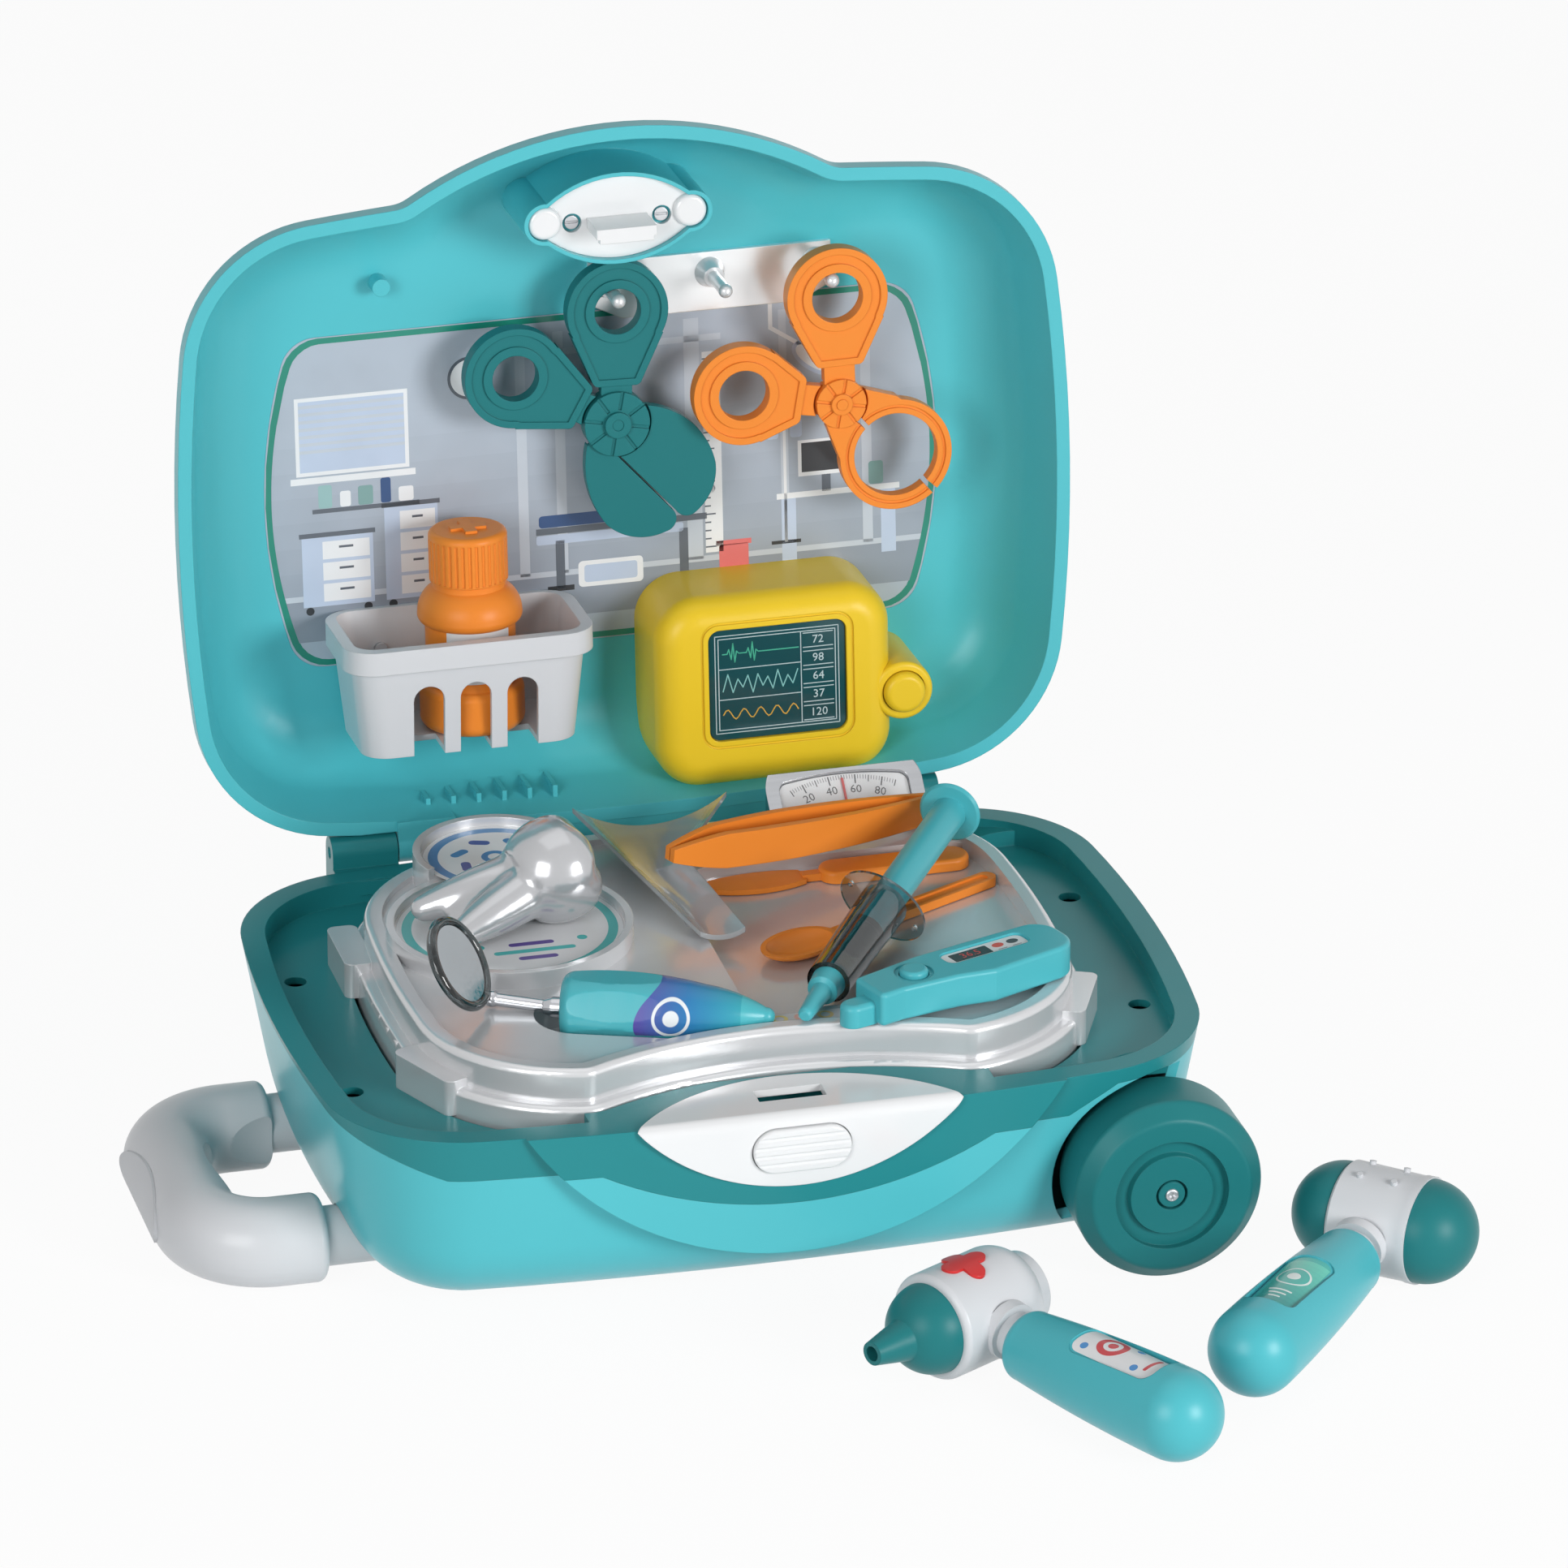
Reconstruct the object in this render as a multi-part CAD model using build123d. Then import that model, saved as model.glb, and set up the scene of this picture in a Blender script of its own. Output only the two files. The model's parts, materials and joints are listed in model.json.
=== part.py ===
from build123d import *
import os
from math import asin, atan2, cos, degrees, hypot, pi, radians, sin, sqrt

# A toy doctor case lying open: a wheeled play suitcase whose lid stands up as a small ward,
# with a tray of instruments in the base. Millimetres, +Z up, hinge along X at the back (+Y),
# latch at the front (-Y), wheels at the right (+X), pull-out handle at the left (-X).
# The origin is the centre of the standing pad under the base.

# ---------------------------------------------------------------- case, driving dimensions
case_width = 294.0
case_depth = 216.0
corner_r = 46.0
side_bow = 9.0
rim_z = 70.0
base_floor_z = 3.0
wall = 2.5
base_inset = 12.0
base_edge_r = 30.0
rim_width = 8.0
ledge_z = 62.0
ledge_thickness = 2.5
pad_length = 150.0
pad_depth = 96.0

# teal rim band: its lower edge, and the dip under the latch
band_z = 55.0
band_end_z = 68.0
band_wheel_z = 64.5
band_left_x = 112.0
band_right_x = 90.0
band_rise = 16.0
dip_half = 64.0
dip_z = 39.5
apron_half = 88.0
apron_z = 22.0
apron_proud = 1.5
apron_depth = 34.0

# well that holds the tray
well_side_margin = 32.0
well_front_margin = 13.5
well_width = case_width - 2 * well_side_margin
well_depth = case_depth - 2 * well_front_margin
well_corner = 58.0
well_bow = 8.0
well_wall = 2.5
well_bottom_z = 42.0
well_shelf = 4.0
screw_hole_r = 3.6
screw_hole_inset = 17.0
screw_hole_x = case_width / 2 - screw_hole_inset
screw_hole_y = 42.0

# latch
latch_half = 54.0
latch_overhang = 2.5
latch_depth = 28.5
latch_front_y = -(case_depth / 2 + latch_overhang)
latch_back_y = latch_front_y + latch_depth
latch_low_z = 46.0
latch_proud = 1.0
latch_skin = 2.5
latch_block_half = 66.0
latch_block_back_y = latch_back_y + latch_skin
latch_fold_r = 4.0
button_width = 32.0
button_height = 15.0
button_z = 59.0
button_proud = 1.8
button_gap = 0.3
button_flange = 2.0
button_ribs = 4
hook_slot_length = 22.0
hook_slot_width = 8.0
hook_setback = 15.5
hook_y = latch_front_y + hook_setback

# hinge
hinge_overhang = 4.0
hinge_y = case_depth / 2 + hinge_overhang
hinge_z = 73.5
hinge_x = 92.0
hinge_block = 22.0
hinge_knuckle = 20.0
hinge_gap = 0.4
hinge_r = 5.5
hinge_relief = 1.3
pin_r = 2.0
pin_gap = 0.05
open_angle = 94.5

# lid
lid_gap = 0.3
lid_overhang = 1.0
lid_height = 38.5
lid_inset = 9.0
lid_edge_r = 26.0
lid_bead = 2.0
lid_bead_height = 6.0
arch_half = 70.0
arch_rise = 20.0
arch_fillet = 14.0

# wheels and axle
wheel_r = 31.0
wheel_inset = 27.3
wheel_x = case_width / 2 - wheel_inset
wheel_thickness = 27.0
wheel_overhang = 10.0
wheel_face_y = case_depth / 2 + wheel_overhang
wheel_edge_r = 5.0
groove_outer_r = 18.7
groove_mid_r = 14.2
groove_depth = 2.5
axle_r = 3.0
axle_gap = 0.08
axle_boss_r = 13.0
wheel_arch_gap = 3.0
axle_head_r = 4.6
wheel_side_gap = 0.4

# trolley handle
tube_r = 9.7
tube_wall = 1.4
tube_gap = 0.35
tube_z = 15.2
tube_spacing = 84.0
handle_y = -6.0
tube_proud = 3.0
tube_left_x = -case_width / 2 - tube_proud
tube_length = 232.0
tube_inner_plug = 12.0
grip_reach = 46.0
grip_left_x = -case_width / 2 - grip_reach
grip_r = 14.4
grip_inset = 5.0
grip_end_x = -case_width / 2 + grip_inset
grip_bend_r = 22.0
guide_length = 12.0
guide_wall = 3.0
guide_x = -70.0
pad_thickness = 1.2

# tray
tray_side_gap = 1.5
tray_step = 4.5
tray_step_z = 71.0
tray_deck_z = 80.0
tray_top_z = 82.0
tray_wall = 2.2
tray_bead = 6.0
tray_step_r = 2.4
tray_bead_r = 2.4
tray_wave_depth = 17.0
tray_wave_half = 66.0
tray_tab_inset = 3.0
wave_corner = 14.0
tool_pocket_z = 75.5
mirror_pocket_z = 69.0
big_dish_x = -63.5
big_dish_y = 21.0
big_dish_r = 40.0
big_dish_z = 86.0
small_dish_x = -57.5
small_dish_y = 67.0
small_dish_r = 27.0
small_dish_z = 90.0
dish_wall = 2.6
dish_depth = 3.0


# inner pieces of the lid: heights are measured up from the hinge, depths back from the lid's rim
card_width = 208.0
card_height = 114.0
card_bow = 10.0
card_centre = 110.0
card_thickness = 0.8
card_corner = 12.0
boss_x = 74.0
boss_height = 184.0
boss_r = 3.0
rail_centre_x = 37.5
rail_half = 41.0
rail_low = 164.0
rail_high = 184.0
rail_thickness = 2.0
peg_spacing = 36.0
peg_height = 177.0
peg_r = 2.2
peg_ball_r = peg_r + 0.2
peg_tip_depth = 13.0
peg_boss_r = 5.2
peg_boss_length = 6.0
plate_over_hook = 1.5
plate_centre = hinge_y - hook_y + plate_over_hook
plate_half = 29.0
plate_rise = 14.0
plate_depth = 6.0
plate_thickness = 2.2
plate_ear_x = 24.4
plate_ear_r = 5.6
plate_ear_rise = 2.2
plate_rim = 1.5
plate_rim_rise = 2.6
plate_gap = 0.1
hook_width = 20.0
hook_thickness = 3.4
hook_reach = 8.0
lid_screw_x = 15.0
lid_screw_r = 2.3
lid_screw_hole_r = 3.2
basket_x = -55.0
basket_width = 80.0
basket_low_width = 72.0
basket_bottom = 33.0
basket_top = 72.0
basket_front = -7.5
basket_lip = 2.0
basket_lip_height = 8.0
basket_wall = 2.0
slot_pitch = 15.7
slot_width = 10.4
slot_top = 57.5
slot_reach = 18.0
monitor_x = 49.5
monitor_centre = 40.5
monitor_width = 80.0
monitor_height = 66.0
monitor_front = 2.0
monitor_corner = 15.0
monitor_edge_r = 9.0
screen_x = 49.8
screen_centre = 44.0
screen_width = 47.0
screen_height = 39.0
screen_recess = 1.2
knob_x = 92.8
knob_centre = 35.4
knob_base_r = 10.0
knob_r = 7.0
knob_base_front = 2.6
knob_travel = 1.2
bottle_x = -50.5
bottle_depth = 16.4
bottle_r = 17.3
bottle_heel = 12.0
bottle_waist_low = 15.2
bottle_waist_high = 36.0
bottle_waist_inset = 2.4
bottle_shoulder = 48.4
bottle_collar = 2.0
bottle_neck_rise = 11.6
bottle_neck_r = 10.6
bottle_wall = 1.4
cap_r = 13.0
cap_height = 17.0
cap_ribs = 36

# hanging scissors and clamp
tool_thickness = 5.6
scissor_depth = 21.0
clamp_depth = 14.8
ring_r = 17.0
scissor_hole_r = 7.8
clamp_hole_r = 8.6
scissor_length = 38.6
clamp_length = 36.6
clamp_second_length = 33.3
scissor_hub_r = 11.0
clamp_hub_r = 8.4
scissor_second_angle = 150.5
clamp_second_angle = 169.5
neck_start = 13.0
neck_half = 7.6
stub_half = 5.2
bead = 2.3
bead_depth = 0.7
jaw_r = 19.0
jaw_width = 4.8
jaw_x = 18.4
jaw_drop = 19.6
rivet_r = 1.9
fit_gap = 0.05
seat_gap = 0.3

# scale, ramp and the instruments on the tray
scale_x = 64.5
scale_width = 53.0
scale_front_y = 76.0
scale_back_y = 92.0
scale_front_z = 84.0
scale_back_z = 95.5
scale_corner = 8.0
scale_front_corner = 4.5
scale_border = 4.7
dial_half = 7.0
dial_bow = 2.2
dial_corner = 3.6
scale_recess = 2.2
needle_length = 10.0
needle_pivot = 4.6
needle_hub_r = 1.6
ramp_back_y = 82.0
ramp_back_z = 94.5
ramp_back_x = -2.0
ramp_back_half = 26.0
ramp_back_sag = 9.0
ramp_mid_y = 48.0
ramp_mid_z = 90.0
ramp_mid_x = -8.8
ramp_mid_half = 9.6
ramp_mid_sag = 5.0
ramp_front_y = 1.5
ramp_front_x = 2.5
ramp_front_half = 7.5
ramp_front_sag = 2.0
ramp_skin = 1.8
web_thickness = 1.8
web_x = -5.5
web_front_y = 14.0

tooth_crown = (-47.0, 26.0, 100.0)
tooth_crown_r = 17.6
tooth_face = 12.6
tooth_neck_r = 12.5
tooth_neck = 13.0
tooth_roots = ((-90.0, 29.5, 89.2), (-83.2, 8.6, 88.0), (-80.0, 21.0, 88.0))
tooth_root_r = 9.0
tooth_tip_r = 4.4

mirror_tail = (3.5, -62.2, 82.0)
mirror_head = (-60.5, -38.5, 82.0)
mirror_handle_r = 12.4
mirror_tail_r = 3.0
stem_end = (-81.2, -29.2, 83.2)
stem_r = 2.1
stem_ball_r = 2.7
ferrule_r = 3.4
ring_centre = (-92.2, -30.6, 97.4)
ring_normal = (0.721, -0.465, 0.512)
ring_major_r = 14.4
ring_tube_r = 1.7
glass_thickness = 1.4

syringe_tip = (11.1, -69.8, 84.8)
syringe_disc = (92.6, 53.4, 92.6)
nozzle_length = 24.0
barrel_end = 79.0
barrel_r = 8.2
barrel_tip_r = 7.2
barrel_wall = 1.2
flange_half = 15.5
flange_short = 9.6
flange_thickness = 1.4
flange_roll = 31.0
plunger_r = 5.7
seal_gap = 0.05
disc_r = 10.4
disc_thickness = 2.2
syringe_travel = 24.0

thermometer_tip = (23.0, -74.4)
thermometer_turn = 19.5
thermometer_length = 84.0
thermometer_thickness = 11.5
thermometer_button_r = 4.6
thermometer_travel = 1.0

tweezer_left = (-8.4, 28.6, 99.5)
tweezer_right = (88.0, 68.0, 87.2)
tweezer_height = 12.0
tweezer_half_gap = 1.6
tweezer_skin = 2.6
knife_left = (2.6, 47.5)
knife_right = (97.0, 48.4)
spoon_left = (26.0, -6.0)
spoon_right = (101.0, 31.5)
cutlery_thickness = 3.0

otoscope_x = 43.0
otoscope_y = -case_depth / 2 - 46.9
otoscope_turn = 29.6
head_r = 17.6
otoscope_handle = 106.0
cone_reach = 43.0
hammer_x = case_width / 2 + 40.0
hammer_y = -case_depth / 2 - 19.0
hammer_turn = -41.6
hammer_handle_length = 110.0
handle_start = 24.0
handle_neck_r = 10.0
handle_mid_r = 15.0


# ---------------------------------------------------------------- drawing helpers
def bowed_face(width, depth, corner, bow):
    """Rounded rectangle whose four sides bow outwards."""
    half_x, half_y = width / 2, depth / 2
    cx, cy = half_x - bow, half_y - bow
    sides = [
        ThreePointArc((-cx, -cy), (0, -half_y), (cx, -cy)),
        ThreePointArc((cx, -cy), (half_x, 0), (cx, cy)),
        ThreePointArc((cx, cy), (0, half_y), (-cx, cy)),
        ThreePointArc((-cx, cy), (-half_x, 0), (-cx, -cy)),
    ]
    face = make_face(Wire(sides))
    return fillet(face.vertices(), corner).face()


def slab(face, low, high):
    return extrude(Pos(0, 0, low) * face, high - low, dir=(0, 0, 1))


def redrawn(face):
    """The same outline, with each edge drawn afresh as a line or an arc."""
    edges = []
    for edge in face.outer_wire().edges():
        start, middle, end = (edge.position_at(t) for t in (0, 0.5, 1))
        straight = edge.geom_type == GeomType.LINE
        edges.append(Line(start, end) if straight else ThreePointArc(start, middle, end))
    return make_face(Wire(edges)).face()


def grown(face, amount):
    return redrawn(offset(face, amount, kind=Kind.ARC).face())


def bowl(face, z_rim, z_far, inset, edge_r):
    """Tapered body from its rim outline to a smaller far outline, with a round far edge."""
    far = Pos(0, 0, z_far) * grown(face, -inset)
    body = loft([Pos(0, 0, z_rim) * face, far], ruled=True)
    rank = 0 if z_far < z_rim else -1
    return fillet(body.edges().group_by(Axis.Z)[rank], edge_r)


def block(x0, x1, y0, y1, z0, z1):
    return Pos((x0 + x1) / 2, (y0 + y1) / 2, (z0 + z1) / 2) * Box(x1 - x0, y1 - y0, z1 - z0)


def rod(start, end, radius, end_radius=None):
    """Round bar or cone between two points."""
    a, b = Vector(*start), Vector(*end)
    length = (b - a).length
    plane = Plane(origin=a, z_dir=(b - a))
    if end_radius is None:
        shape = Cylinder(radius, length, align=(Align.CENTER, Align.CENTER, Align.MIN))
    else:
        shape = Cone(radius, end_radius, length, align=(Align.CENTER, Align.CENTER, Align.MIN))
    return plane.location * shape


def chord_radius(half, rise):
    return (half ** 2 + rise ** 2) / (2 * rise)


def lens_y(half, top_z, low_z, y0, y1):
    """Segment of a disc seen from the front: a straight top, an arc hanging below it."""
    radius = chord_radius(half, top_z - low_z)
    disc = rod((0, y0, low_z + radius), (0, y1, low_z + radius), radius)
    return disc & block(-half, half, y0, y1, low_z, top_z)


def only(shape):
    """The largest solid of a result."""
    return max(shape.solids(), key=lambda s: s.volume)


def write(name, shape):
    os.makedirs("parts", exist_ok=True)
    export_step(shape, "parts/" + name + ".step")


# ---------------------------------------------------------------- base
def case_outline():
    return bowed_face(case_width, case_depth, corner_r, side_bow)


def tray_wave():
    """Disc that takes the tray and the well back from the latch."""
    radius = chord_radius(tray_wave_half, tray_wave_depth)
    return Pos(0, -well_depth / 2 + tray_wave_depth - radius) * Circle(radius)


def well_outline():
    """Well for the tray, drawn in at the front where the latch block stands."""
    face = Sketch() + bowed_face(well_width, well_depth, well_corner, well_bow) - tray_wave()
    front = -well_depth / 2 + well_bow
    corners = [v for v in face.vertices() if v.Y < front and abs(v.X) < 1.1 * tray_wave_half]
    return fillet(corners, wave_corner).face()


def base_body():
    outline = case_outline()
    body = bowl(outline, rim_z, base_floor_z, base_inset, base_edge_r)
    front = slab(grown(outline, apron_proud), apron_z, rim_z)
    apron = front & lens_y(apron_half, rim_z, apron_z, -case_depth, -case_depth / 2 + apron_depth)
    return body + apron


def base_hollow():
    outline = grown(case_outline(), -wall)
    body = bowl(outline, rim_z, base_floor_z + wall, base_inset, base_edge_r - wall)
    front = slab(grown(case_outline(), apron_proud - wall), apron_z + wall, rim_z)
    cut = lens_y(apron_half - wall, rim_z, apron_z + wall, -case_depth, -case_depth / 2 + apron_depth)
    return body + (front & cut)


def band_zone():
    """Everything above the band's lower edge."""
    far = case_width
    edge = Polyline(
        (-far, far), (-far, band_end_z), (-case_width / 2, band_end_z), (-band_left_x, band_z),
        (band_right_x, band_z), (band_right_x + band_rise, band_wheel_z), (far, band_wheel_z),
        (far, far), (-far, far))
    face = Plane.XZ * make_face(edge)
    zone = extrude(face, case_width, both=True)
    dip = lens_y(dip_half, band_z, dip_z, -case_depth, 0)
    return zone + dip


def tube_axis_y():
    return (handle_y - tube_spacing / 2, handle_y + tube_spacing / 2)


def tube_holes():
    end = 2 * guide_length
    holes = [rod((-case_width, y, tube_z), (end, y, tube_z), tube_r + tube_gap) for y in tube_axis_y()]
    return holes[0] + holes[1]


def wheel_inner_y():
    return wheel_face_y - wheel_thickness


def wheel_wells():
    """Round clearance over both wheels."""
    inner = wheel_inner_y() - wheel_arch_gap
    wells = [rod((wheel_x, s * inner, wheel_r), (wheel_x, s * case_depth, wheel_r), wheel_r + wheel_arch_gap)
             for s in (-1, 1)]
    return wells[0] + wells[1]


def wheel_arches():
    """Walls of the channel's floor where it rises over the wheels."""
    inner = wheel_inner_y() - wheel_arch_gap - wall
    radius = wheel_r + wheel_arch_gap + wall
    drums = [rod((wheel_x, s * inner, wheel_r), (wheel_x, s * case_depth, wheel_r), radius) for s in (-1, 1)]
    return drums[0] + drums[1] - wheel_wells()


def axle_bosses():
    """Round housings that carry the axle out to the wheels."""
    root = case_depth / 2 - base_inset - base_edge_r
    tip = wheel_inner_y() - wheel_side_gap
    bosses = [rod((wheel_x, s * root, wheel_r), (wheel_x, s * tip, wheel_r), axle_boss_r) for s in (-1, 1)]
    return bosses[0] + bosses[1]


def axle_bore():
    return rod((wheel_x, -case_depth, wheel_r), (wheel_x, case_depth, wheel_r), axle_r + axle_gap)


def tube_guides():
    """Collars moulded on the floor of the base, that the two tubes slide in."""
    guides = []
    for y in tube_axis_y():
        for x in (-guide_length, guide_x):
            collar = rod((x, y, tube_z), (x + guide_length, y, tube_z), tube_r + guide_wall)
            stand = block(x, x + guide_length, y - tube_r - guide_wall, y + tube_r + guide_wall,
                          base_floor_z + 1, tube_z)
            room = block(x, x + guide_length, -case_depth, case_depth, base_floor_z + 1, case_depth)
            guides.append(collar & room)
            guides.append(stand)
    return guides[0] + guides[1:]


def base_shell():
    outer = base_body() - band_zone() - wheel_wells()
    shell = outer + axle_bosses() - base_hollow()
    boss_roots = axle_bosses() - wheel_wells()
    pad = fillet(Box(pad_length, pad_depth, base_floor_z + 1).edges().filter_by(Axis.Z), corner_r / 4)
    pad = Pos(0, 0, (base_floor_z + 1) / 2) * pad
    shell = shell + boss_roots + axle_bosses() + pad + tube_guides()
    return only(shell - tube_holes() - axle_bore())


def hinge_side(sign):
    """Base knuckle at one side, outside the lid's knuckle."""
    x0, x1 = sorted((sign * (hinge_x - hinge_block / 2), sign * (hinge_x + hinge_block / 2)))
    barrel = rod((x0, hinge_y, hinge_z), (x1, hinge_y, hinge_z), hinge_r)
    web = block(x0, x1, hinge_y - hinge_r, hinge_y + hinge_r, band_z + 5, hinge_z)
    foot = block(x0, x1, hinge_y - 3 * hinge_r, hinge_y + hinge_r, band_wheel_z, rim_z - hinge_gap)
    return barrel + web + foot


def hinge_bore(extra):
    end = hinge_x + hinge_block
    return rod((-end, hinge_y, hinge_z), (end, hinge_y, hinge_z), pin_r + extra)


def latch_wedge():
    """Body whose front and top faces are the two lens faces of the latch plate."""
    top = rim_z + latch_proud
    radius = chord_radius(latch_half, latch_back_y - latch_front_y)
    disc = Pos(0, latch_back_y - radius) * Circle(radius)
    front_lens = lens_y(latch_half, top, latch_low_z, latch_front_y, latch_back_y)
    bar = block(-latch_half, latch_half, latch_front_y, latch_back_y, latch_low_z, top)
    fold = bar.edges().filter_by(Axis.X).sort_by(Axis.Y)[:2].sort_by(Axis.Z)[-1]
    return front_lens & slab(disc, latch_low_z, top) & fillet(fold, latch_fold_r)


def latch_block():
    outer = slab(grown(case_outline(), apron_proud), well_bottom_z, rim_z)
    outer = outer & block(-latch_block_half, latch_block_half, -case_depth, latch_block_back_y, 0, rim_z)
    return outer & (base_hollow() + band_zone())


def base_rim():
    outline = case_outline()
    hollow = base_hollow()
    floor = block(-case_width, case_width, -case_depth, case_depth, ledge_z - ledge_thickness, rim_z)
    band = (base_body() & band_zone()) + (hollow & floor) - wheel_wells()
    recess = slab(grown(outline, -rim_width), ledge_z, rim_z + 1)
    well = well_outline()
    well_tube = slab(grown(well, well_wall), well_bottom_z, ledge_z)
    under = (hollow & block(-case_width, case_width, -case_depth, case_depth, 0, ledge_z - ledge_thickness))
    rim = band - recess - (under - well_tube)
    rim = rim + (well_tube & (hollow + band_zone())) + latch_block() + (wheel_arches() & hollow & floor)
    rim = rim - (slab(well, well_bottom_z, rim_z + 1) - slab(grown(well, -well_shelf), 0, rim_z + 1)
                 & block(-case_width, case_width, -case_depth, case_depth, well_bottom_z + wall, rim_z + 1))
    rim = rim - slab(grown(well, -well_shelf), 0, rim_z + 1)
    holes = [Pos(sx * screw_hole_x, sy * screw_hole_y, ledge_z) * Cylinder(screw_hole_r, 4 * ledge_thickness)
             for sx in (-1, 1) for sy in (-1, 1)]
    for hole in holes:
        rim = rim - hole
    rim = rim + hinge_side(-1) + hinge_side(1)
    return only(rim - latch_wedge() - hinge_bore(pin_gap))


def base_feet():
    """Two small feet under the handle end."""
    feet = [Pos(-case_width / 2 + base_edge_r + 22, s * 52.0, (base_floor_z + 1.5) / 2)
            * Cylinder(7.0, base_floor_z + 1.5) for s in (-1, 1)]
    return Compound([only(foot - base_body()) for foot in feet])


def hinge_pins():
    inner = hinge_x - hinge_block / 2 - hinge_knuckle
    outer = hinge_x + hinge_block / 2 - 1
    pins = [rod((s * inner, hinge_y, hinge_z), (s * outer, hinge_y, hinge_z), pin_r) for s in (-1, 1)]
    return Compound(pins)


def latch_plate():
    wedge = latch_wedge()
    top = rim_z + latch_proud
    inside = block(-latch_half, latch_half, latch_front_y + latch_skin, 0, 0, top - latch_skin)
    slot = Pos(0, hook_y, rim_z) * Box(hook_slot_length, hook_slot_width, 4 * latch_skin)
    opening = button_prism(button_gap, latch_front_y - 1, latch_front_y + latch_skin + 1)
    return only(wedge - inside - slot - opening)


def button_prism(extra, y0, y1):
    oval = SlotOverall(button_width + 2 * extra, button_height + 2 * extra)
    face = Plane(origin=(0, y0, button_z), x_dir=(1, 0, 0), z_dir=(0, -1, 0)) * oval
    return extrude(face, -(y1 - y0))


def latch_button():
    front = latch_front_y - button_proud
    back = latch_front_y + latch_skin + button_gap
    button = button_prism(0, front, back)
    button = fillet(button.edges().group_by(Axis.Y)[0], 1.0)
    pitch = button_height / (button_ribs + 1)
    for i in range(button_ribs):
        z = button_z + (i - (button_ribs - 1) / 2) * pitch
        button = button - rod((-button_width, front - 0.3, z), (button_width, front - 0.3, z), 0.8)
    return button + button_prism(button_flange, back, back + 1.5)


def latch_slider():
    """Bolt behind the button: a stem and a nose under the hook slot."""
    back = latch_front_y + latch_skin + button_gap + 1.5
    stem = block(-8, 8, back, hook_y, button_z - 4, button_z + 4)
    nose = block(-9, 9, hook_y - 3, hook_y, button_z - 4, rim_z - 3.5)
    return stem + nose


# ---------------------------------------------------------------- wheels and axle
def wheel(sign):
    """Moulded wheel: crowned tread, stepped rings on its outer face, bored for the axle."""
    inner = wheel_inner_y()
    outer = wheel_face_y
    crown = wheel_r
    bore = axle_r + axle_gap
    section = Polyline(
        (bore, inner), (crown - 3, inner), (crown - 0.4, inner + 3), (crown, outer - wheel_edge_r),
        (crown - wheel_edge_r, outer), (groove_outer_r, outer), (groove_outer_r, outer - groove_depth),
        (groove_mid_r, outer - groove_depth), (groove_mid_r - 0.6, outer - 0.5),
        (axle_head_r + 0.6, outer - 0.5), (axle_head_r + 0.6, outer - 2.5), (bore, outer - 2.5),
        (bore, inner))
    face = make_face(section)
    body = revolve(face, Axis.Y, 360)
    corner = [e for e in body.edges().filter_by(GeomType.CIRCLE)
              if abs(e.radius - (crown - wheel_edge_r)) < 0.01 or abs(e.radius - crown) < 0.01]
    body = fillet(corner, 2.5)
    if sign < 0:
        body = mirror(body, Plane.XZ)
    return Pos(wheel_x, 0, wheel_r) * body


def wheel_axle():
    """Steel axle with a screw head at each end."""
    end = wheel_face_y - 2.2
    axle = rod((wheel_x, -end, wheel_r), (wheel_x, end, wheel_r), axle_r)
    for s in (-1, 1):
        head = Pos(wheel_x, s * end, wheel_r) * Sphere(axle_head_r)
        keep = block(0, 2 * wheel_x, *sorted((s * end, s * (end + 1.6))), 0, 2 * wheel_r)
        axle = axle + (head & keep)
    return only(axle)


# ---------------------------------------------------------------- trolley handle
def handle_tubes():
    tubes = []
    for y in tube_axis_y():
        end_x = tube_left_x + tube_length
        tube = rod((tube_left_x, y, tube_z), (end_x, y, tube_z), tube_r)
        bore = rod((tube_left_x + tube_inner_plug, y, tube_z), (end_x, y, tube_z), tube_r - tube_wall)
        tubes.append(tube - bore)
    return Compound(tubes)


def handle_grip():
    """U-shaped grip swept round the two tubes, thick at the corners."""
    y0, y1 = tube_axis_y()
    back_x = grip_left_x + grip_r
    path = FilletPolyline((grip_end_x, y0), (back_x, y0), (back_x, y1), (grip_end_x, y1), radius=grip_bend_r)
    path = Pos(0, 0, tube_z) * path
    section = Plane(origin=(grip_end_x, y0, tube_z), z_dir=(-1, 0, 0)) * Circle(grip_r)
    grip = sweep(section, path=path)
    grip = fillet(grip.edges().filter_by(GeomType.CIRCLE).filter_by(lambda e: abs(e.center().X - grip_end_x) < 0.1
                                                                   and abs(e.radius - grip_r) < 0.1), 3.0)
    for y in (y0, y1):
        grip = grip - rod((tube_left_x, y, tube_z), (0, y, tube_z), tube_r)
    hollow_y = (y0 + y1) / 2
    palm = Pos(back_x + 2.6 * grip_r, hollow_y, tube_z) * Sphere(2.2 * grip_r)
    return only(grip - palm - grip_pad())


def grip_pad():
    """Oval thumb pad let into the left end of the grip."""
    mid_y = handle_y
    back_x = grip_left_x + grip_r
    oval = Plane(origin=(grip_left_x - 5, mid_y, tube_z), z_dir=(1, 0, 0)) * Ellipse(10.0, 27.0)
    prism = extrude(oval, 5 + grip_r)
    skin = rod((back_x, -case_depth, tube_z), (back_x, case_depth, tube_z), grip_r + 0.6)
    core = rod((back_x, -case_depth, tube_z), (back_x, case_depth, tube_z), grip_r - pad_thickness)
    left = block(-case_width, back_x - 2, -case_depth, case_depth, 0, case_width)
    return only((skin - core) & prism & left)


# ---------------------------------------------------------------- lid
def lid_seat():
    return hinge_z - rim_z - lid_gap


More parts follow.
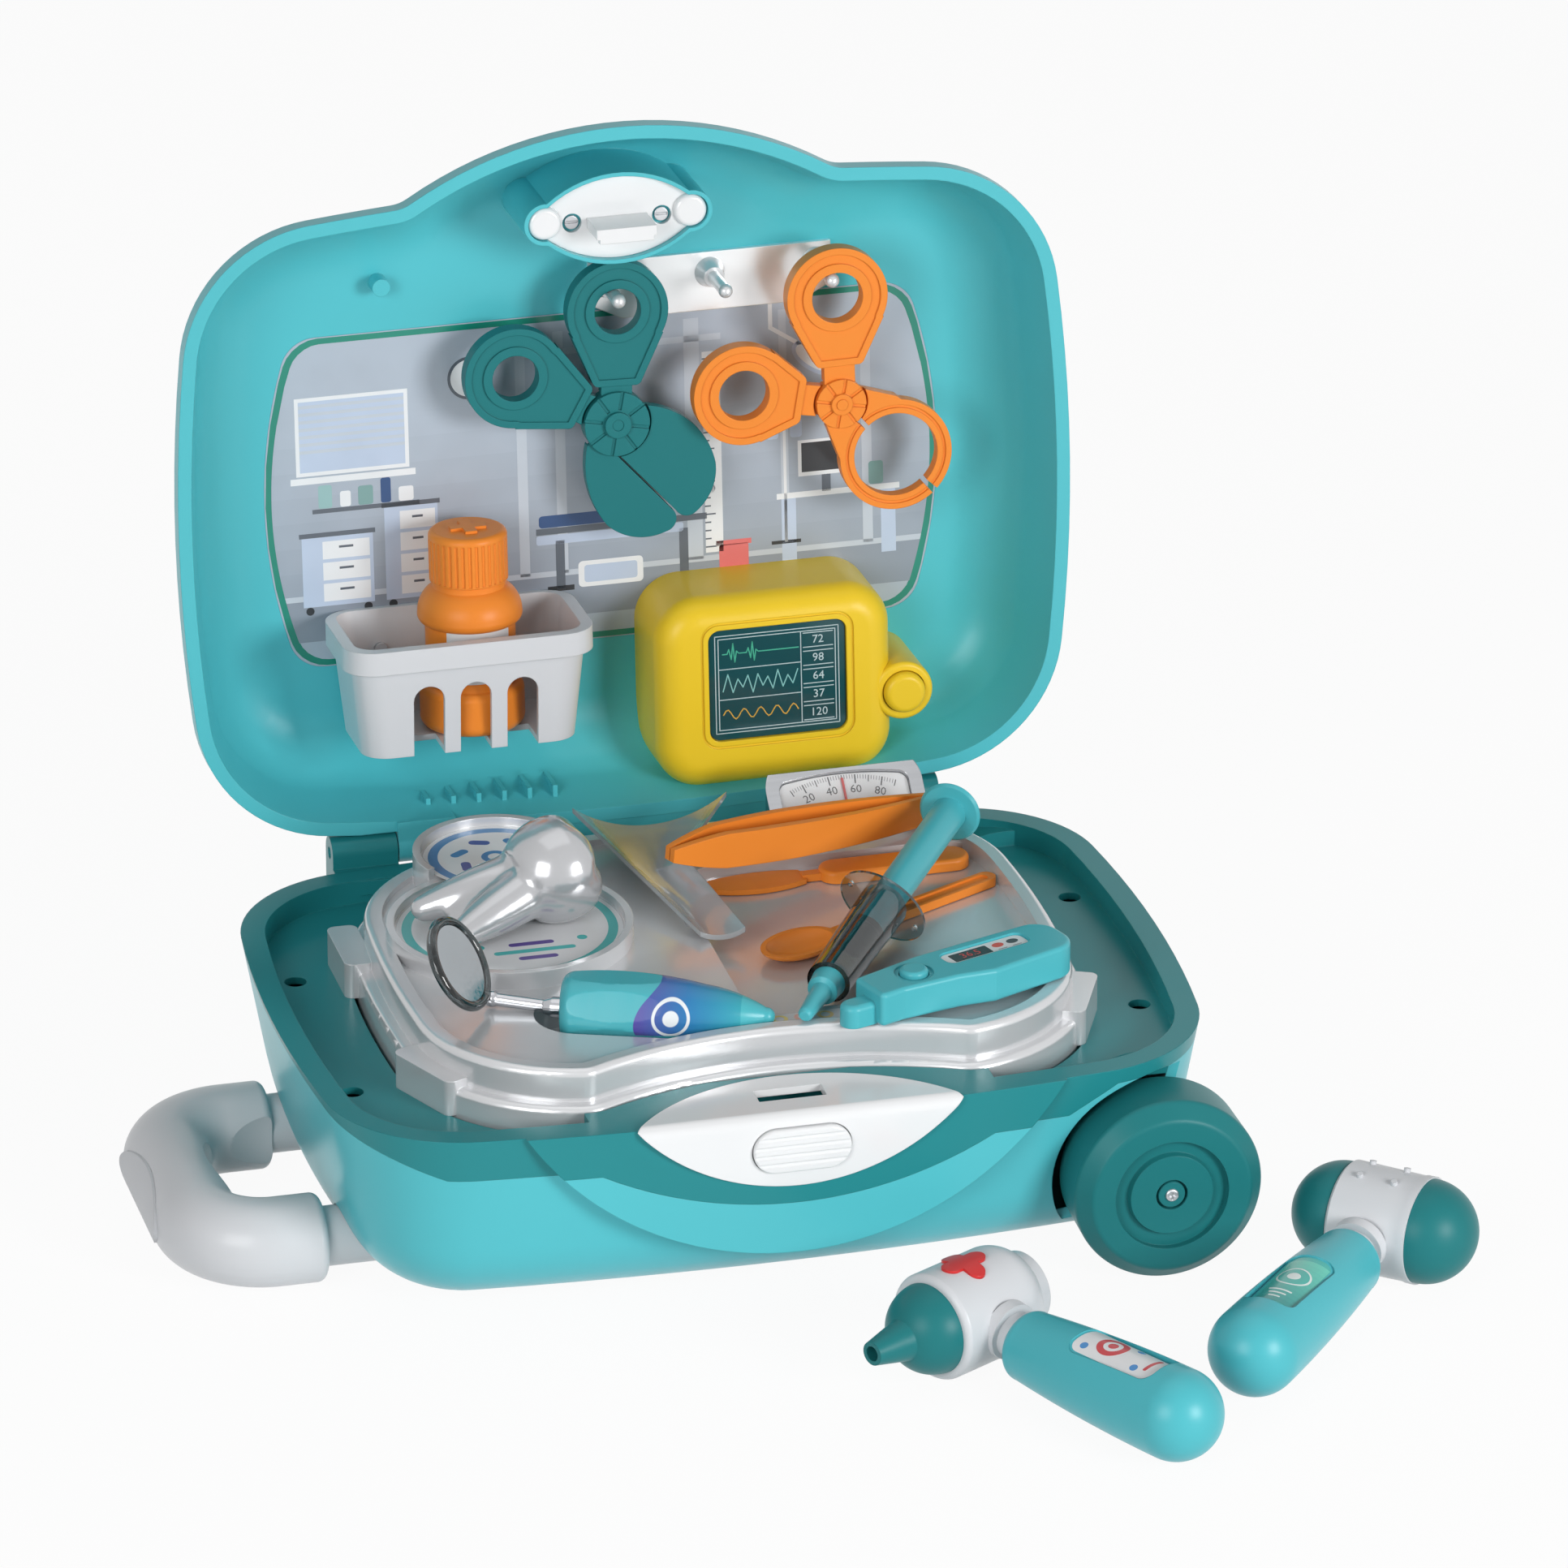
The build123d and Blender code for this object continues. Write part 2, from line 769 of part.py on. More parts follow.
def in_lid(shape):
    """Places a piece drawn with x across, y back from the lid's rim, z up from the hinge."""
    return Pos(0, hinge_y, hinge_z) * Rot(90 - open_angle, 0, 0) * Pos(0, -lid_seat(), 0) * shape


def facing(depth):
    """Drawing plane parallel to the lid's rim, seen from the front."""
    return Plane(origin=(0, depth, 0), x_dir=(1, 0, 0), z_dir=(0, -1, 0))


def lid_slab(sketch, front, back):
    return extrude(facing(back) * sketch, back - front, dir=(0, -1, 0))


def inner_back():
    return lid_height - wall


def lid_outline():
    """The case outline with a bowed arch over the latch."""
    face = bowed_face(case_width + 2 * lid_overhang, case_depth, corner_r, side_bow)
    radius = chord_radius(arch_half, arch_rise)
    front = -case_depth / 2
    disc = Pos(0, front - arch_rise + radius + 1.5) * Circle(radius)
    keep = Pos(0, front) * Rectangle(4 * arch_half, 2 * arch_rise + 30)
    joined = (Sketch() + face + (disc & keep)).face()
    corners = [v for v in joined.vertices() if v.Y < front + side_bow and abs(v.X) < 1.2 * arch_half]
    return fillet(corners, arch_fillet).face()


def stand_up(shape):
    """Turns a body drawn over the closed case into the lid's own upright frame."""
    return Pos(0, 0, hinge_y) * Rot(-90, 0, 0) * shape


def lid_body(extra):
    outline = grown(lid_outline(), extra) if extra else lid_outline()
    return bowl(outline, 0, lid_height + extra, lid_inset, lid_edge_r + extra)


def lid_room():
    """The space inside the lid, run out past its rim."""
    return stand_up(lid_body(-wall) + slab(grown(lid_outline(), -wall), -rim_z, 0.1))


def lid_shell():
    outer = stand_up(lid_body(0))
    bead = stand_up(slab(grown(lid_outline(), lid_bead), 0, lid_bead_height))
    shell = outer + bead - lid_room()
    boss = rod((-boss_x, inner_back() - 7, boss_height), (-boss_x, lid_height, boss_height), boss_r)
    shell = shell + (boss & outer)
    for side in (-1, 1):
        x0, x1 = sorted((side * (hinge_x - hinge_block / 2 - hinge_gap),
                         side * (hinge_x - hinge_block / 2 - hinge_knuckle)))
        axis = lid_seat()
        shell = shell + rod((x0, axis, 0), (x1, axis, 0), hinge_r)
        shell = shell + block(x0, x1, axis - hinge_r + 1, axis + hinge_r, 0, hinge_r + 4)
        near = hinge_x - hinge_block / 2 - hinge_gap
        far = hinge_x + hinge_block / 2 + 2
        y0, y1 = sorted((side * near, side * far))
        shell = shell - rod((y0, axis, 0), (y1, axis, 0), hinge_r + hinge_relief)
        shell = shell - rod((side * 40, axis, 0), (side * 120, axis, 0), pin_r + pin_gap)
    for i in range(6):
        x = -68.0 + i * 8.6
        rib = block(x - 0.8, x + 0.8, 9, 32, 2, 13)
        shell = shell + (rib & outer)
    backing = lid_slab(catch_outline(plate_rim), plate_depth - plate_rim_rise, lid_height)
    seat = lid_slab(catch_outline(plate_gap), 0, plate_depth + plate_thickness)
    shell = shell + ((backing - seat) & outer)
    shell = shell - card_solid()
    return only(shell)


def eye(half, rise):
    """Two arcs meeting in points: the outline of the catch plate."""
    radius = chord_radius(half, rise)
    low = Pos(0, plate_centre - rise + radius) * Circle(radius)
    high = Pos(0, plate_centre + rise - radius) * Circle(radius)
    return low & high


def card_solid():
    """Room picture let into the back wall."""
    half, top = card_width / 2, card_height / 2
    edges = [
        Line((-half, -top), (half, -top)),
        ThreePointArc((half, -top), (half + card_bow, 0), (half, top)),
        Line((half, top), (-half, top)),
        ThreePointArc((-half, top), (-half - card_bow, 0), (-half, -top)),
    ]
    face = make_face(Wire(edges))
    face = fillet(face.vertices(), card_corner)
    return lid_slab(Pos(0, card_centre) * face, inner_back(), inner_back() + card_thickness)


def catch_outline(extra):
    """The catch plate's outline: the eye with a round ear at each end."""
    ears = [Pos(side * plate_ear_x, plate_centre) * Circle(plate_ear_r + extra) for side in (-1, 1)]
    return eye(plate_half + extra, plate_rise + extra) + ears[0] + ears[1]


def catch_plate():
    plate = lid_slab(catch_outline(0), plate_depth, plate_depth + plate_thickness)
    for side in (-1, 1):
        x = side * plate_ear_x
        pad = rod((x, plate_depth - plate_ear_rise, plate_centre), (x, plate_depth + 1, plate_centre),
                  plate_ear_r)
        plate = plate + fillet(pad.edges().group_by(Axis.Y)[0], plate_ear_rise - 0.4)
        plate = plate - rod((side * lid_screw_x, 0, plate_centre - 1), (side * lid_screw_x, 9, plate_centre - 1),
                            lid_screw_hole_r)
    slot = block(-hook_width / 2, hook_width / 2, 0, 20, hook_low(), hook_low() + hook_thickness)
    return only(plate - slot)


def hook_low():
    return hinge_y - hook_y - hook_thickness / 2


def catch_hook():
    """Tongue that drops through the latch plate, with a lip for the slider."""
    low = hook_low()
    tongue = block(-hook_width / 2, hook_width / 2, -hook_reach, plate_depth + plate_thickness,
                   low, low + hook_thickness)
    lip = block(-hook_width / 2 + 1, hook_width / 2 - 1, -hook_reach, -hook_reach + 3,
                low - 1.6, low + hook_thickness)
    return tongue + lip


def lid_screws():
    screws = []
    for side in (-1, 1):
        x = side * lid_screw_x
        z = plate_centre - 1
        head = rod((x, plate_depth + 0.6, z), (x, plate_depth + plate_thickness, z), lid_screw_r)
        screws.append(head - block(x - 2, x + 2, 0, plate_depth + 1.2, z - 0.35, z + 0.35))
    x, z = basket_x - 22, basket_top - 14
    head = rod((x, inner_back() - basket_wall - 1.2, z), (x, inner_back() - basket_wall, z), lid_screw_r)
    screws.append(head)
    return Compound(screws)


def peg_rail():
    cut = 11.0
    outline = Polygon(
        (-rail_half, rail_high), (rail_half, rail_high), (rail_half, rail_low + cut / 2),
        (rail_half - cut, rail_low), (-rail_half + cut, rail_low), (-rail_half, rail_low + cut / 2), align=None)
    strip = lid_slab(Pos(rail_centre_x, 0) * outline, inner_back() - rail_thickness, inner_back())
    return only(strip & lid_room())


def peg_x(i):
    return rail_centre_x + (i - 1) * peg_spacing


def pegs():
    """Three pegs turned in one with their bosses, each with a round tip."""
    base = inner_back() - rail_thickness
    length = base - peg_tip_depth
    reach = sqrt(peg_ball_r ** 2 - peg_r ** 2)
    side = peg_ball_r * sin(pi / 4)
    profile = [
        Line((0, 0), (peg_boss_r, 0)),
        Line((peg_boss_r, 0), (peg_boss_r - 1.8, peg_boss_length)),
        Line((peg_boss_r - 1.8, peg_boss_length), (peg_r, peg_boss_length)),
        Line((peg_r, peg_boss_length), (peg_r, length - reach)),
        ThreePointArc((peg_r, length - reach), (peg_ball_r, length), (side, length + side)),
        ThreePointArc((side, length + side), (side / 2, length + sqrt(peg_ball_r ** 2 - side ** 2 / 4)),
                      (0, length + peg_ball_r)),
        Line((0, length + peg_ball_r), (0, 0)),
    ]
    peg = revolve(Plane.XZ * make_face(Wire(profile)), Axis.Z, 360)
    made = []
    for i in range(3):
        place = Plane(origin=(peg_x(i), base, peg_height), z_dir=(0, -1, 0)).location
        made.append(only((place * peg) & lid_room()))
    return Compound(made)


def basket_solid(inset, low):
    """Tapered tub between two rounded rectangles."""
    depth = inner_back() - basket_front
    mid = (inner_back() + basket_front) / 2
    shrink = (basket_width - basket_low_width) / 2
    top = RectangleRounded(basket_width - 2 * inset, depth - 2 * inset, 9 - inset)
    bottom = RectangleRounded(basket_low_width - 2 * inset, depth - shrink - 2 * inset, 9 - inset)
    return loft([
        (Pos(basket_x, mid + shrink / 2, low) * bottom).face(),
        (Pos(basket_x, mid, basket_top) * top).face()], ruled=True)


def basket():
    tub = basket_solid(0, basket_bottom)
    depth = inner_back() - basket_front
    mid = (inner_back() + basket_front) / 2
    lip = RectangleRounded(basket_width + 2 * basket_lip, depth + basket_lip, 9 + basket_lip)
    lip_place = Pos(basket_x, mid - basket_lip / 2, basket_top - basket_lip_height)
    lip = extrude(lip_place * lip, basket_lip_height)
    tub = tub + lip - basket_solid(basket_wall, basket_bottom + basket_wall)
    for i in range(3):
        x = basket_x + 1 + (i - 1) * slot_pitch
        half = slot_width / 2
        slot = block(x - half, x + half, basket_front - 5, basket_front + slot_reach, 0, slot_top - half)
        crown = slot_top - half
        arch = rod((x, basket_front - 5, crown), (x, basket_front + slot_reach, crown), half)
        tub = tub - slot - arch
    return only(tub & lid_room())


def monitor_case():
    body = lid_slab(Pos(monitor_x, monitor_centre) * RectangleRounded(monitor_width, monitor_height, monitor_corner),
                    monitor_front, inner_back())
    body = fillet(body.edges().group_by(Axis.Y)[0], monitor_edge_r)
    lobe = rod((knob_x, knob_base_front, knob_centre), (knob_x, inner_back(), knob_centre), knob_base_r)
    lobe = fillet(lobe.edges().group_by(Axis.Y)[0], 1.5)
    body = body + lobe
    screen = Pos(screen_x, screen_centre) * RectangleRounded(screen_width, screen_height, 4)
    body = body - lid_slab(screen, 0, monitor_front + screen_recess + 0.8)
    ring = Pos(screen_x, screen_centre) * (RectangleRounded(screen_width + 5, screen_height + 5, 6)
                                           - RectangleRounded(screen_width + 3.4, screen_height + 3.4, 5.2))
    body = body - lid_slab(ring, 0, monitor_front + 0.6)
    shaft = rod((knob_x, -10, knob_centre), (knob_x, knob_base_front + 6, knob_centre), knob_r + seat_gap)
    return only((body - shaft) & lid_room())


def monitor_screen():
    screen = Pos(screen_x, screen_centre) * RectangleRounded(screen_width - 0.4, screen_height - 0.4, 3.8)
    return lid_slab(screen, monitor_front + screen_recess, monitor_front + screen_recess + 0.8)


def monitor_button():
    """Domed push button in the monitor's side lobe."""
    front = knob_base_front - 3.0
    body = rod((knob_x, front, knob_centre), (knob_x, knob_base_front + 6 - knob_travel - seat_gap, knob_centre),
               knob_r)
    return fillet(body.edges().group_by(Axis.Y)[0], 2.2)


def bottle_base():
    return basket_bottom + basket_wall + seat_gap


def pill_bottle():
    """Turned bottle: heel bead, straight waist, shoulder bead and neck, open inside."""
    r, waist, neck = bottle_r, bottle_r - bottle_waist_inset, bottle_neck_r
    low, high, shoulder = bottle_waist_low, bottle_waist_high, bottle_shoulder
    collar, top = shoulder + bottle_collar, shoulder + bottle_collar + bottle_neck_rise
    bore, mouth, floor = waist - 2, neck - bottle_wall, bottle_wall + 0.6
    profile = [
        Line((0, 0), (r - 3.5, 0)),
        ThreePointArc((r - 3.5, 0), (r - 0.8, 1.4), (r, 4.5)),
        Line((r, 4.5), (r, bottle_heel)),
        ThreePointArc((r, bottle_heel), (r - 0.7, low - 1), (waist, low)),
        Line((waist, low), (waist, high)),
        ThreePointArc((waist, high), (r - 0.6, high + 1), (r, high + 3.5)),
        ThreePointArc((r, high + 3.5), (r - 1.6, shoulder - 3.4), (neck + 1.6, shoulder)),
        Line((neck + 1.6, shoulder), (neck + 1.6, collar)),
        Line((neck + 1.6, collar), (neck, collar)),
        Line((neck, collar), (neck, top)),
        Line((neck, top), (mouth, top)),
        Line((mouth, top), (mouth, shoulder - bottle_wall)),
        Line((mouth, shoulder - bottle_wall), (bore, high + 4)),
        Line((bore, high + 4), (bore, floor)),
        Line((bore, floor), (0, floor)),
        Line((0, floor), (0, 0)),
    ]
    face = Plane.XZ * make_face(Wire(profile))
    return Pos(bottle_x, bottle_depth, bottle_base()) * revolve(face, Axis.Z, 360)


def bottle_cap():
    """Ribbed cap with a raised plus on top."""
    low = bottle_base() + bottle_shoulder + bottle_collar + seat_gap
    cap = Cylinder(cap_r, cap_height, align=(Align.CENTER, Align.CENTER, Align.MIN))
    cap = fillet(cap.edges().group_by(Axis.Z)[-1], 2.0)
    bore = Cylinder(bottle_neck_r + seat_gap, cap_height - 4.2, align=(Align.CENTER, Align.CENTER, Align.MIN))
    cap = cap - bore
    rib = Pos(cap_r + 0.1, 0, cap_height / 2 - 1) * Cylinder(0.55, cap_height - 3)
    for i in range(cap_ribs):
        cap = cap - Rot(0, 0, i * 360 / cap_ribs) * rib
    plus = Box(12, 4, 1.0) + Box(4, 12, 1.0)
    cap = cap + Pos(0, 0, cap_height + 0.4) * plus
    return Pos(bottle_x, bottle_depth, low) * only(cap)


# ---------------------------------------------------------------- scissors and clamp
def paddle(length, hole_r):
    """Finger-ring handle drawn straight up from the pivot, and its hole."""
    tangent = length - 8.0
    sides = Polygon((-neck_half, neck_start), (neck_half, neck_start), (ring_r - 1.6, tangent),
                    (-ring_r + 1.6, tangent), align=None)
    face = Pos(0, length) * Circle(ring_r) + sides
    corners = [v for v in face.vertices() if v.Y < neck_start + 0.1]
    face = fillet(corners, 2.2)
    stub = Pos(0, neck_start / 2 + 1) * Rectangle(2 * stub_half, neck_start + 2)
    hole = Pos(0, length) * Circle(hole_r)
    return face, stub, hole


def handle_solid(length, hole_r):
    """Handle with raised beads round its edge and its hole, on both faces."""
    face, stub, hole = paddle(length, hole_r)
    body = lid_slab(face, -tool_thickness / 2, tool_thickness / 2)
    inner = offset(face, -bead, kind=Kind.ARC) - Pos(0, length) * Circle(hole_r + 3.0)
    body = body - lid_slab(inner, -tool_thickness / 2, -tool_thickness / 2 + bead_depth)
    body = body - lid_slab(inner, tool_thickness / 2 - bead_depth, tool_thickness / 2)
    arm = lid_slab(stub, -tool_thickness / 2 + 0.8, tool_thickness / 2 - 0.8)
    return body + arm - lid_slab(hole, -tool_thickness, tool_thickness)


def turned(angle, shape):
    """Turns a piece drawn straight up to point along an angle counted from the right."""
    return Rot(0, 90 - angle, 0) * shape


def layered(full, hub_r, layer, petals):
    """Gives a half its hub: a disc in one layer, clear of the other half's disc."""
    half = tool_thickness / 2
    gap = fit_gap + 0.05
    clear = hub_r + 0.8
    if layer == "front":
        cut = rod((0, -gap, 0), (0, half + 1, 0), clear)
        disc = rod((0, -gap, 0), (0, -half - 0.6, 0), hub_r)
        groove_y = -half - 0.6
    else:
        cut = rod((0, gap, 0), (0, -half - 1, 0), clear)
        disc = rod((0, gap, 0), (0, half, 0), hub_r)
        groove_y = half
    part = full - cut + disc
    for i in range(petals):
        groove = block(hub_r * 0.45, hub_r + 1, groove_y - 0.6, groove_y + 0.6, -0.55, 0.55)
        part = part - Rot(0, i * 360 / petals + 11, 0) * groove
    return part


def scissor_blade(which):
    """Half of the heart-shaped pair of blades, up to the line where the two meet."""
    if which == "a":
        edges = [
            ThreePointArc((-10.0, -7.0), (-10.0, -22.0), (-4.0, -35.0)),
            ThreePointArc((-4.0, -35.0), (5.0, -40.0), (16.0, -39.2)),
            ThreePointArc((16.0, -39.2), (19.2, -36.5), (18.9, -32.6)),
            Line((18.9, -32.6), (-0.35, -10.9)),
            Line((-0.35, -10.9), (0, 0)),
            Line((0, 0), (-10.0, -7.0)),
        ]
    else:
        edges = [
            ThreePointArc((9.5, 5.2), (26.5, -3.5), (33.2, -17.0)),
            ThreePointArc((33.2, -17.0), (31.6, -26.5), (26.2, -33.4)),
            ThreePointArc((26.2, -33.4), (22.5, -34.4), (19.4, -32.2)),
            Line((19.4, -32.2), (0.15, -10.5)),
            Line((0.15, -10.5), (0, 0)),
            Line((0, 0), (9.5, 5.2)),
        ]
    return make_face(Wire(edges))


def scissor_pivot():
    x = peg_x(0) + 0.9
    return x - 1.2, peg_height + peg_r + seat_gap - scissor_hole_r - scissor_length


def scissor_half(which):
    angle = 88.2 if which == "a" else scissor_second_angle
    grip = turned(angle, handle_solid(scissor_length, scissor_hole_r))
    blade = lid_slab(scissor_blade(which), -1.9, 1.9)
    part = layered(grip + blade, scissor_hub_r, "front" if which == "a" else "back", 8)
    part = part - rod((0, -20, 0), (0, 20, 0), rivet_r + (0 if which == "a" else fit_gap))
    if which == "a":
        part = part + rod((0, -tool_thickness / 2 - 0.6, 0), (0, -tool_thickness / 2 - 2.0, 0), 4.4)
        part = part - rod((0, -20, 0), (0, 20, 0), rivet_r)
    x, z = scissor_pivot()
    return Pos(x, scissor_depth, z) * only(part)


def rivet(pivot, depth, back_r):
    """Pin through the hub with a head behind."""
    x, z = pivot
    half = tool_thickness / 2
    pin = rod((0, -half - 1.8, 0), (0, half + fit_gap * 2, 0), rivet_r)
    head = rod((0, half + fit_gap * 2, 0), (0, half + 1.2, 0), back_r)
    return Pos(x, depth, z) * (pin + head)


def clamp_jaw(which):
    """C-shaped jaw and the tapered arm that carries it."""
    centre = Pos(jaw_x, -jaw_drop)
    ring = centre * (Circle(jaw_r) - Circle(jaw_r - jaw_width))
    near = degrees(atan2(jaw_drop, -jaw_x))
    far = near - 180.0
    gap = 3.2
    start, end = (near + gap, far + 360 - gap) if which == "a" else (far + gap, near - gap)
    reach = 2 * jaw_r
    steps = [start + (end - start) * i / 4 for i in range(5)]
    points = [(0, 0)] + [(reach * cos(radians(t)), reach * sin(radians(t))) for t in steps]
    sector = centre * Polygon(*points, align=None)
    if which == "a":
        arm = Polygon((-6.2, -4.0), (2.2, -7.4), (3.6, -9.5), (1.4, -22.0), (-0.8, -19.0), align=None)
    else:
        arm = Polygon((4.6, 5.2), (7.4, -2.2), (9.5, -3.6), (21.5, -1.6), (19.0, 0.6), align=None)
    return (ring & sector) + arm


def clamp_pivot():
    lean = 1.5
    hang = clamp_hole_r - peg_r - seat_gap
    drop = sqrt(hang ** 2 - lean ** 2)
    return peg_x(2) + lean + 0.6, peg_height - drop - clamp_length


def clamp_half(which):
    if which == "a":
        grip = turned(90.9, handle_solid(clamp_length, clamp_hole_r))
    else:
        grip = turned(clamp_second_angle, handle_solid(clamp_second_length, clamp_hole_r))
    jaw = lid_slab(clamp_jaw(which), -2.3, 2.3)
    groove = lid_slab(Pos(jaw_x, -jaw_drop) * (Circle(jaw_r - 1.9) - Circle(jaw_r - 2.9)), -5, -1.7)
    layer = "front" if which == "a" else "back"
    part = layered(grip + (jaw - groove), clamp_hub_r, layer, 8)
    if which == "a":
        part = part + rod((0, -tool_thickness / 2 - 0.6, 0), (0, -tool_thickness / 2 - 1.5, 0), 3.6)
    part = part - rod((0, -20, 0), (0, 20, 0), rivet_r + (0 if which == "a" else fit_gap))
    x, z = clamp_pivot()
    return Pos(x, clamp_depth, z) * only(part)


# ---------------------------------------------------------------- tray
def tray_outline(inset):
    return grown(well_outline(), -tray_side_gap - inset)


def pocket(length, depth, x, y, corner):
    return Pos(x, y) * RectangleRounded(length, depth, corner)


def tool_pocket(extra):
    box = pocket(107 + 2 * extra, 112 + 2 * extra, 51.5, 1.5, 18 + extra)
    return (Sketch() + box & tray_outline(tray_step + tray_bead - extra)).face()


def mirror_pocket(extra):
    shape = Pos(-26, -52) * Rot(0, 0, -21) * SlotOverall(92 + 2 * extra, 29 + 2 * extra)
    return (Sketch() + shape & tray_outline(tray_step + tray_bead - extra)).face()


def tray():
    """Deep moulded tray: skirt, step, beaded deck, two sunken pockets and two raised dishes."""
    seat = well_bottom_z + wall
    low = tray_outline(0)
    high = tray_outline(tray_step)
    skirt = slab(low, seat, tray_step_z)
    skirt = fillet(skirt.edges().group_by(Axis.Z)[-1], tray_step_r)
    crown = slab(high, tray_step_z - 2 * tray_step_r, tray_top_z)
    crown = fillet(crown.edges().group_by(Axis.Z)[-1], tray_bead_r)
    body = skirt + crown
    under = slab(tray_outline(tray_wall), seat - 1, tray_step_z - tray_wall)
    under = under + slab(tray_outline(tray_step + tray_wall), seat - 1, tray_deck_z - tray_wall)
    under = under - slab(tool_pocket(tray_wall), tool_pocket_z - tray_wall, tray_deck_z)
    under = under - slab(mirror_pocket(tray_wall), mirror_pocket_z - tray_wall, tray_deck_z)
    body = body - under
    body = body - slab(tray_outline(tray_step + tray_bead), tray_deck_z, tray_top_z + 1)
    under_dish = tray_deck_z - tray_wall
    body = body + cylinder_at(small_dish_x, small_dish_y, small_dish_r, under_dish, small_dish_z)
    body = body - cylinder_at(small_dish_x, small_dish_y, small_dish_r - dish_wall,
                              small_dish_z - dish_depth, small_dish_z + 1)
    body = body - cylinder_at(big_dish_x, big_dish_y, big_dish_r, tray_deck_z, small_dish_z + 2)
    body = body + cylinder_at(big_dish_x, big_dish_y, big_dish_r, tray_deck_z - tray_wall, big_dish_z)
    body = body - cylinder_at(big_dish_x, big_dish_y, big_dish_r - dish_wall,
                              big_dish_z - dish_depth, big_dish_z + 1)
    body = body - slab(tool_pocket(0), tool_pocket_z, small_dish_z + 5)
    body = body - slab(mirror_pocket(0), mirror_pocket_z, small_dish_z + 5)
    side = well_width / 2 - tray_tab_inset
    for x, y, turn in ((-side, 40.0, 0), (6.0 - side, -52.0, 24), (side - 6.0, -52.0, -24)):
        tab = Pos(x, y) * Rot(0, 0, turn) * RectangleRounded(10, 30, 3)
        body = body + slab(tab.face(), ledge_z, tray_step_z + 3)
    half = scale_width / 2
    seat = block(scale_x - half, scale_x + half, scale_front_y, scale_back_y, tray_deck_z, scale_back_z)
    return only(body - seat)


def cylinder_at(x, y, radius, low, high):
    return Pos(x, y, low) * Cylinder(radius, high - low, align=(Align.CENTER, Align.CENTER, Align.MIN))


def ramp_strip(x, y, z, half, sag, skin):
    """Upright section of the ramp: an arc-shaped strip, thick by its skin."""
    top = ThreePointArc((x - half, y, z), (x, y, z - sag), (x + half, y, z))
    low = ThreePointArc((x + half, y, z - skin), (x, y, z - sag - skin), (x - half, y, z - skin))
    right = Line((x + half, y, z), (x + half, y, z - skin))
    left = Line((x - half, y, z - skin), (x - half, y, z))
    return make_face(Wire([top, right, low, left]))


def ramp_chute(lift, skin):
    front_z = tray_deck_z + ramp_skin + ramp_front_sag
    back = ramp_strip(ramp_back_x, ramp_back_y, ramp_back_z + lift, ramp_back_half, ramp_back_sag, skin)
    middle = ramp_strip(ramp_mid_x, ramp_mid_y, ramp_mid_z + lift, ramp_mid_half, ramp_mid_sag, skin)
    front = ramp_strip(ramp_front_x, ramp_front_y, front_z + lift, ramp_front_half, ramp_front_sag, skin)
    return loft([back, middle, front], ruled=True)


def ramp():
    """Clear saddle-shaped chute, wide at the back, drawn in past the knife, standing on a thin web."""
    x0 = web_x - web_thickness / 2
    web = block(x0, x0 + web_thickness, web_front_y, ramp_back_y - 1, tray_deck_z, ramp_back_z)
    above = ramp_chute(ramp_back_z, ramp_back_z)
    return only(ramp_chute(0, ramp_skin) + (web - above))


def scale_profile(drop, y_in):
    """Side view of the scale housing: a low front and a panel that slopes up to the back."""
    return Polyline(
        (scale_front_y + y_in, tray_deck_z), (scale_front_y + y_in, scale_front_z - drop),
        (scale_back_y - 3 - y_in, scale_back_z - drop), (scale_back_y - y_in, scale_back_z - 2 - drop),
        (scale_back_y - y_in, tray_deck_z), (scale_front_y + y_in, tray_deck_z))


def scale_panel_plane(depth):
    """Plane in the sloping panel, x across, y up the slope, depth below its face."""
    rise = scale_back_z - scale_front_z
    run = scale_back_y - 3 - scale_front_y
    slope = hypot(run, rise)
    normal = Vector(0, -rise / slope, run / slope)
    mid = Vector(scale_x, scale_front_y + run / 2, scale_front_z + rise / 2)
    return Plane(origin=mid - normal * depth, x_dir=(1, 0, 0), z_dir=normal)


def scale_housing():
    half = scale_width / 2
    face = make_face(Plane.YZ * scale_profile(0, 0))
    body = Pos(scale_x - half, 0, 0) * extrude(face, scale_width, dir=(1, 0, 0))
    tall = body.edges().filter_by(Axis.Z).group_by(Axis.Y)
    body = fillet(tall[-1], scale_corner)
    tall = body.edges().filter_by(Axis.Z).group_by(Axis.Y)
    body = fillet(tall[0], scale_front_corner)
    return only(body - extrude(scale_panel_plane(scale_recess) * dial_outline(0.2), 2 * scale_recess))


def dial_outline(extra):
    """Window of the scale: a rounded bar whose top edge is bowed like the dial."""
    half = scale_width / 2 - scale_border + extra
    low, side, top = -dial_half - extra, dial_half - dial_bow + extra, dial_half + extra
    edges = [
        Line((-half, low), (half, low)),
        Line((half, low), (half, side)),
        ThreePointArc((half, side), (0, top), (-half, side)),
        Line((-half, side), (-half, low)),
    ]
    return fillet(make_face(Wire(edges)).vertices(), dial_corner)


def scale_dial():
    return extrude(scale_panel_plane(scale_recess) * dial_outline(0), 0.5)


def scale_needle():
    plane = scale_panel_plane(scale_recess - 0.75)
    pointer = Pos(0, needle_length / 2 - needle_pivot) * Rectangle(0.8, needle_length)
    pointer = pointer + Pos(0, -needle_pivot) * Circle(needle_hub_r)
    return extrude(plane * pointer, 0.4)


def scale_window():
    return extrude(scale_panel_plane(0.9) * dial_outline(0), 0.7)


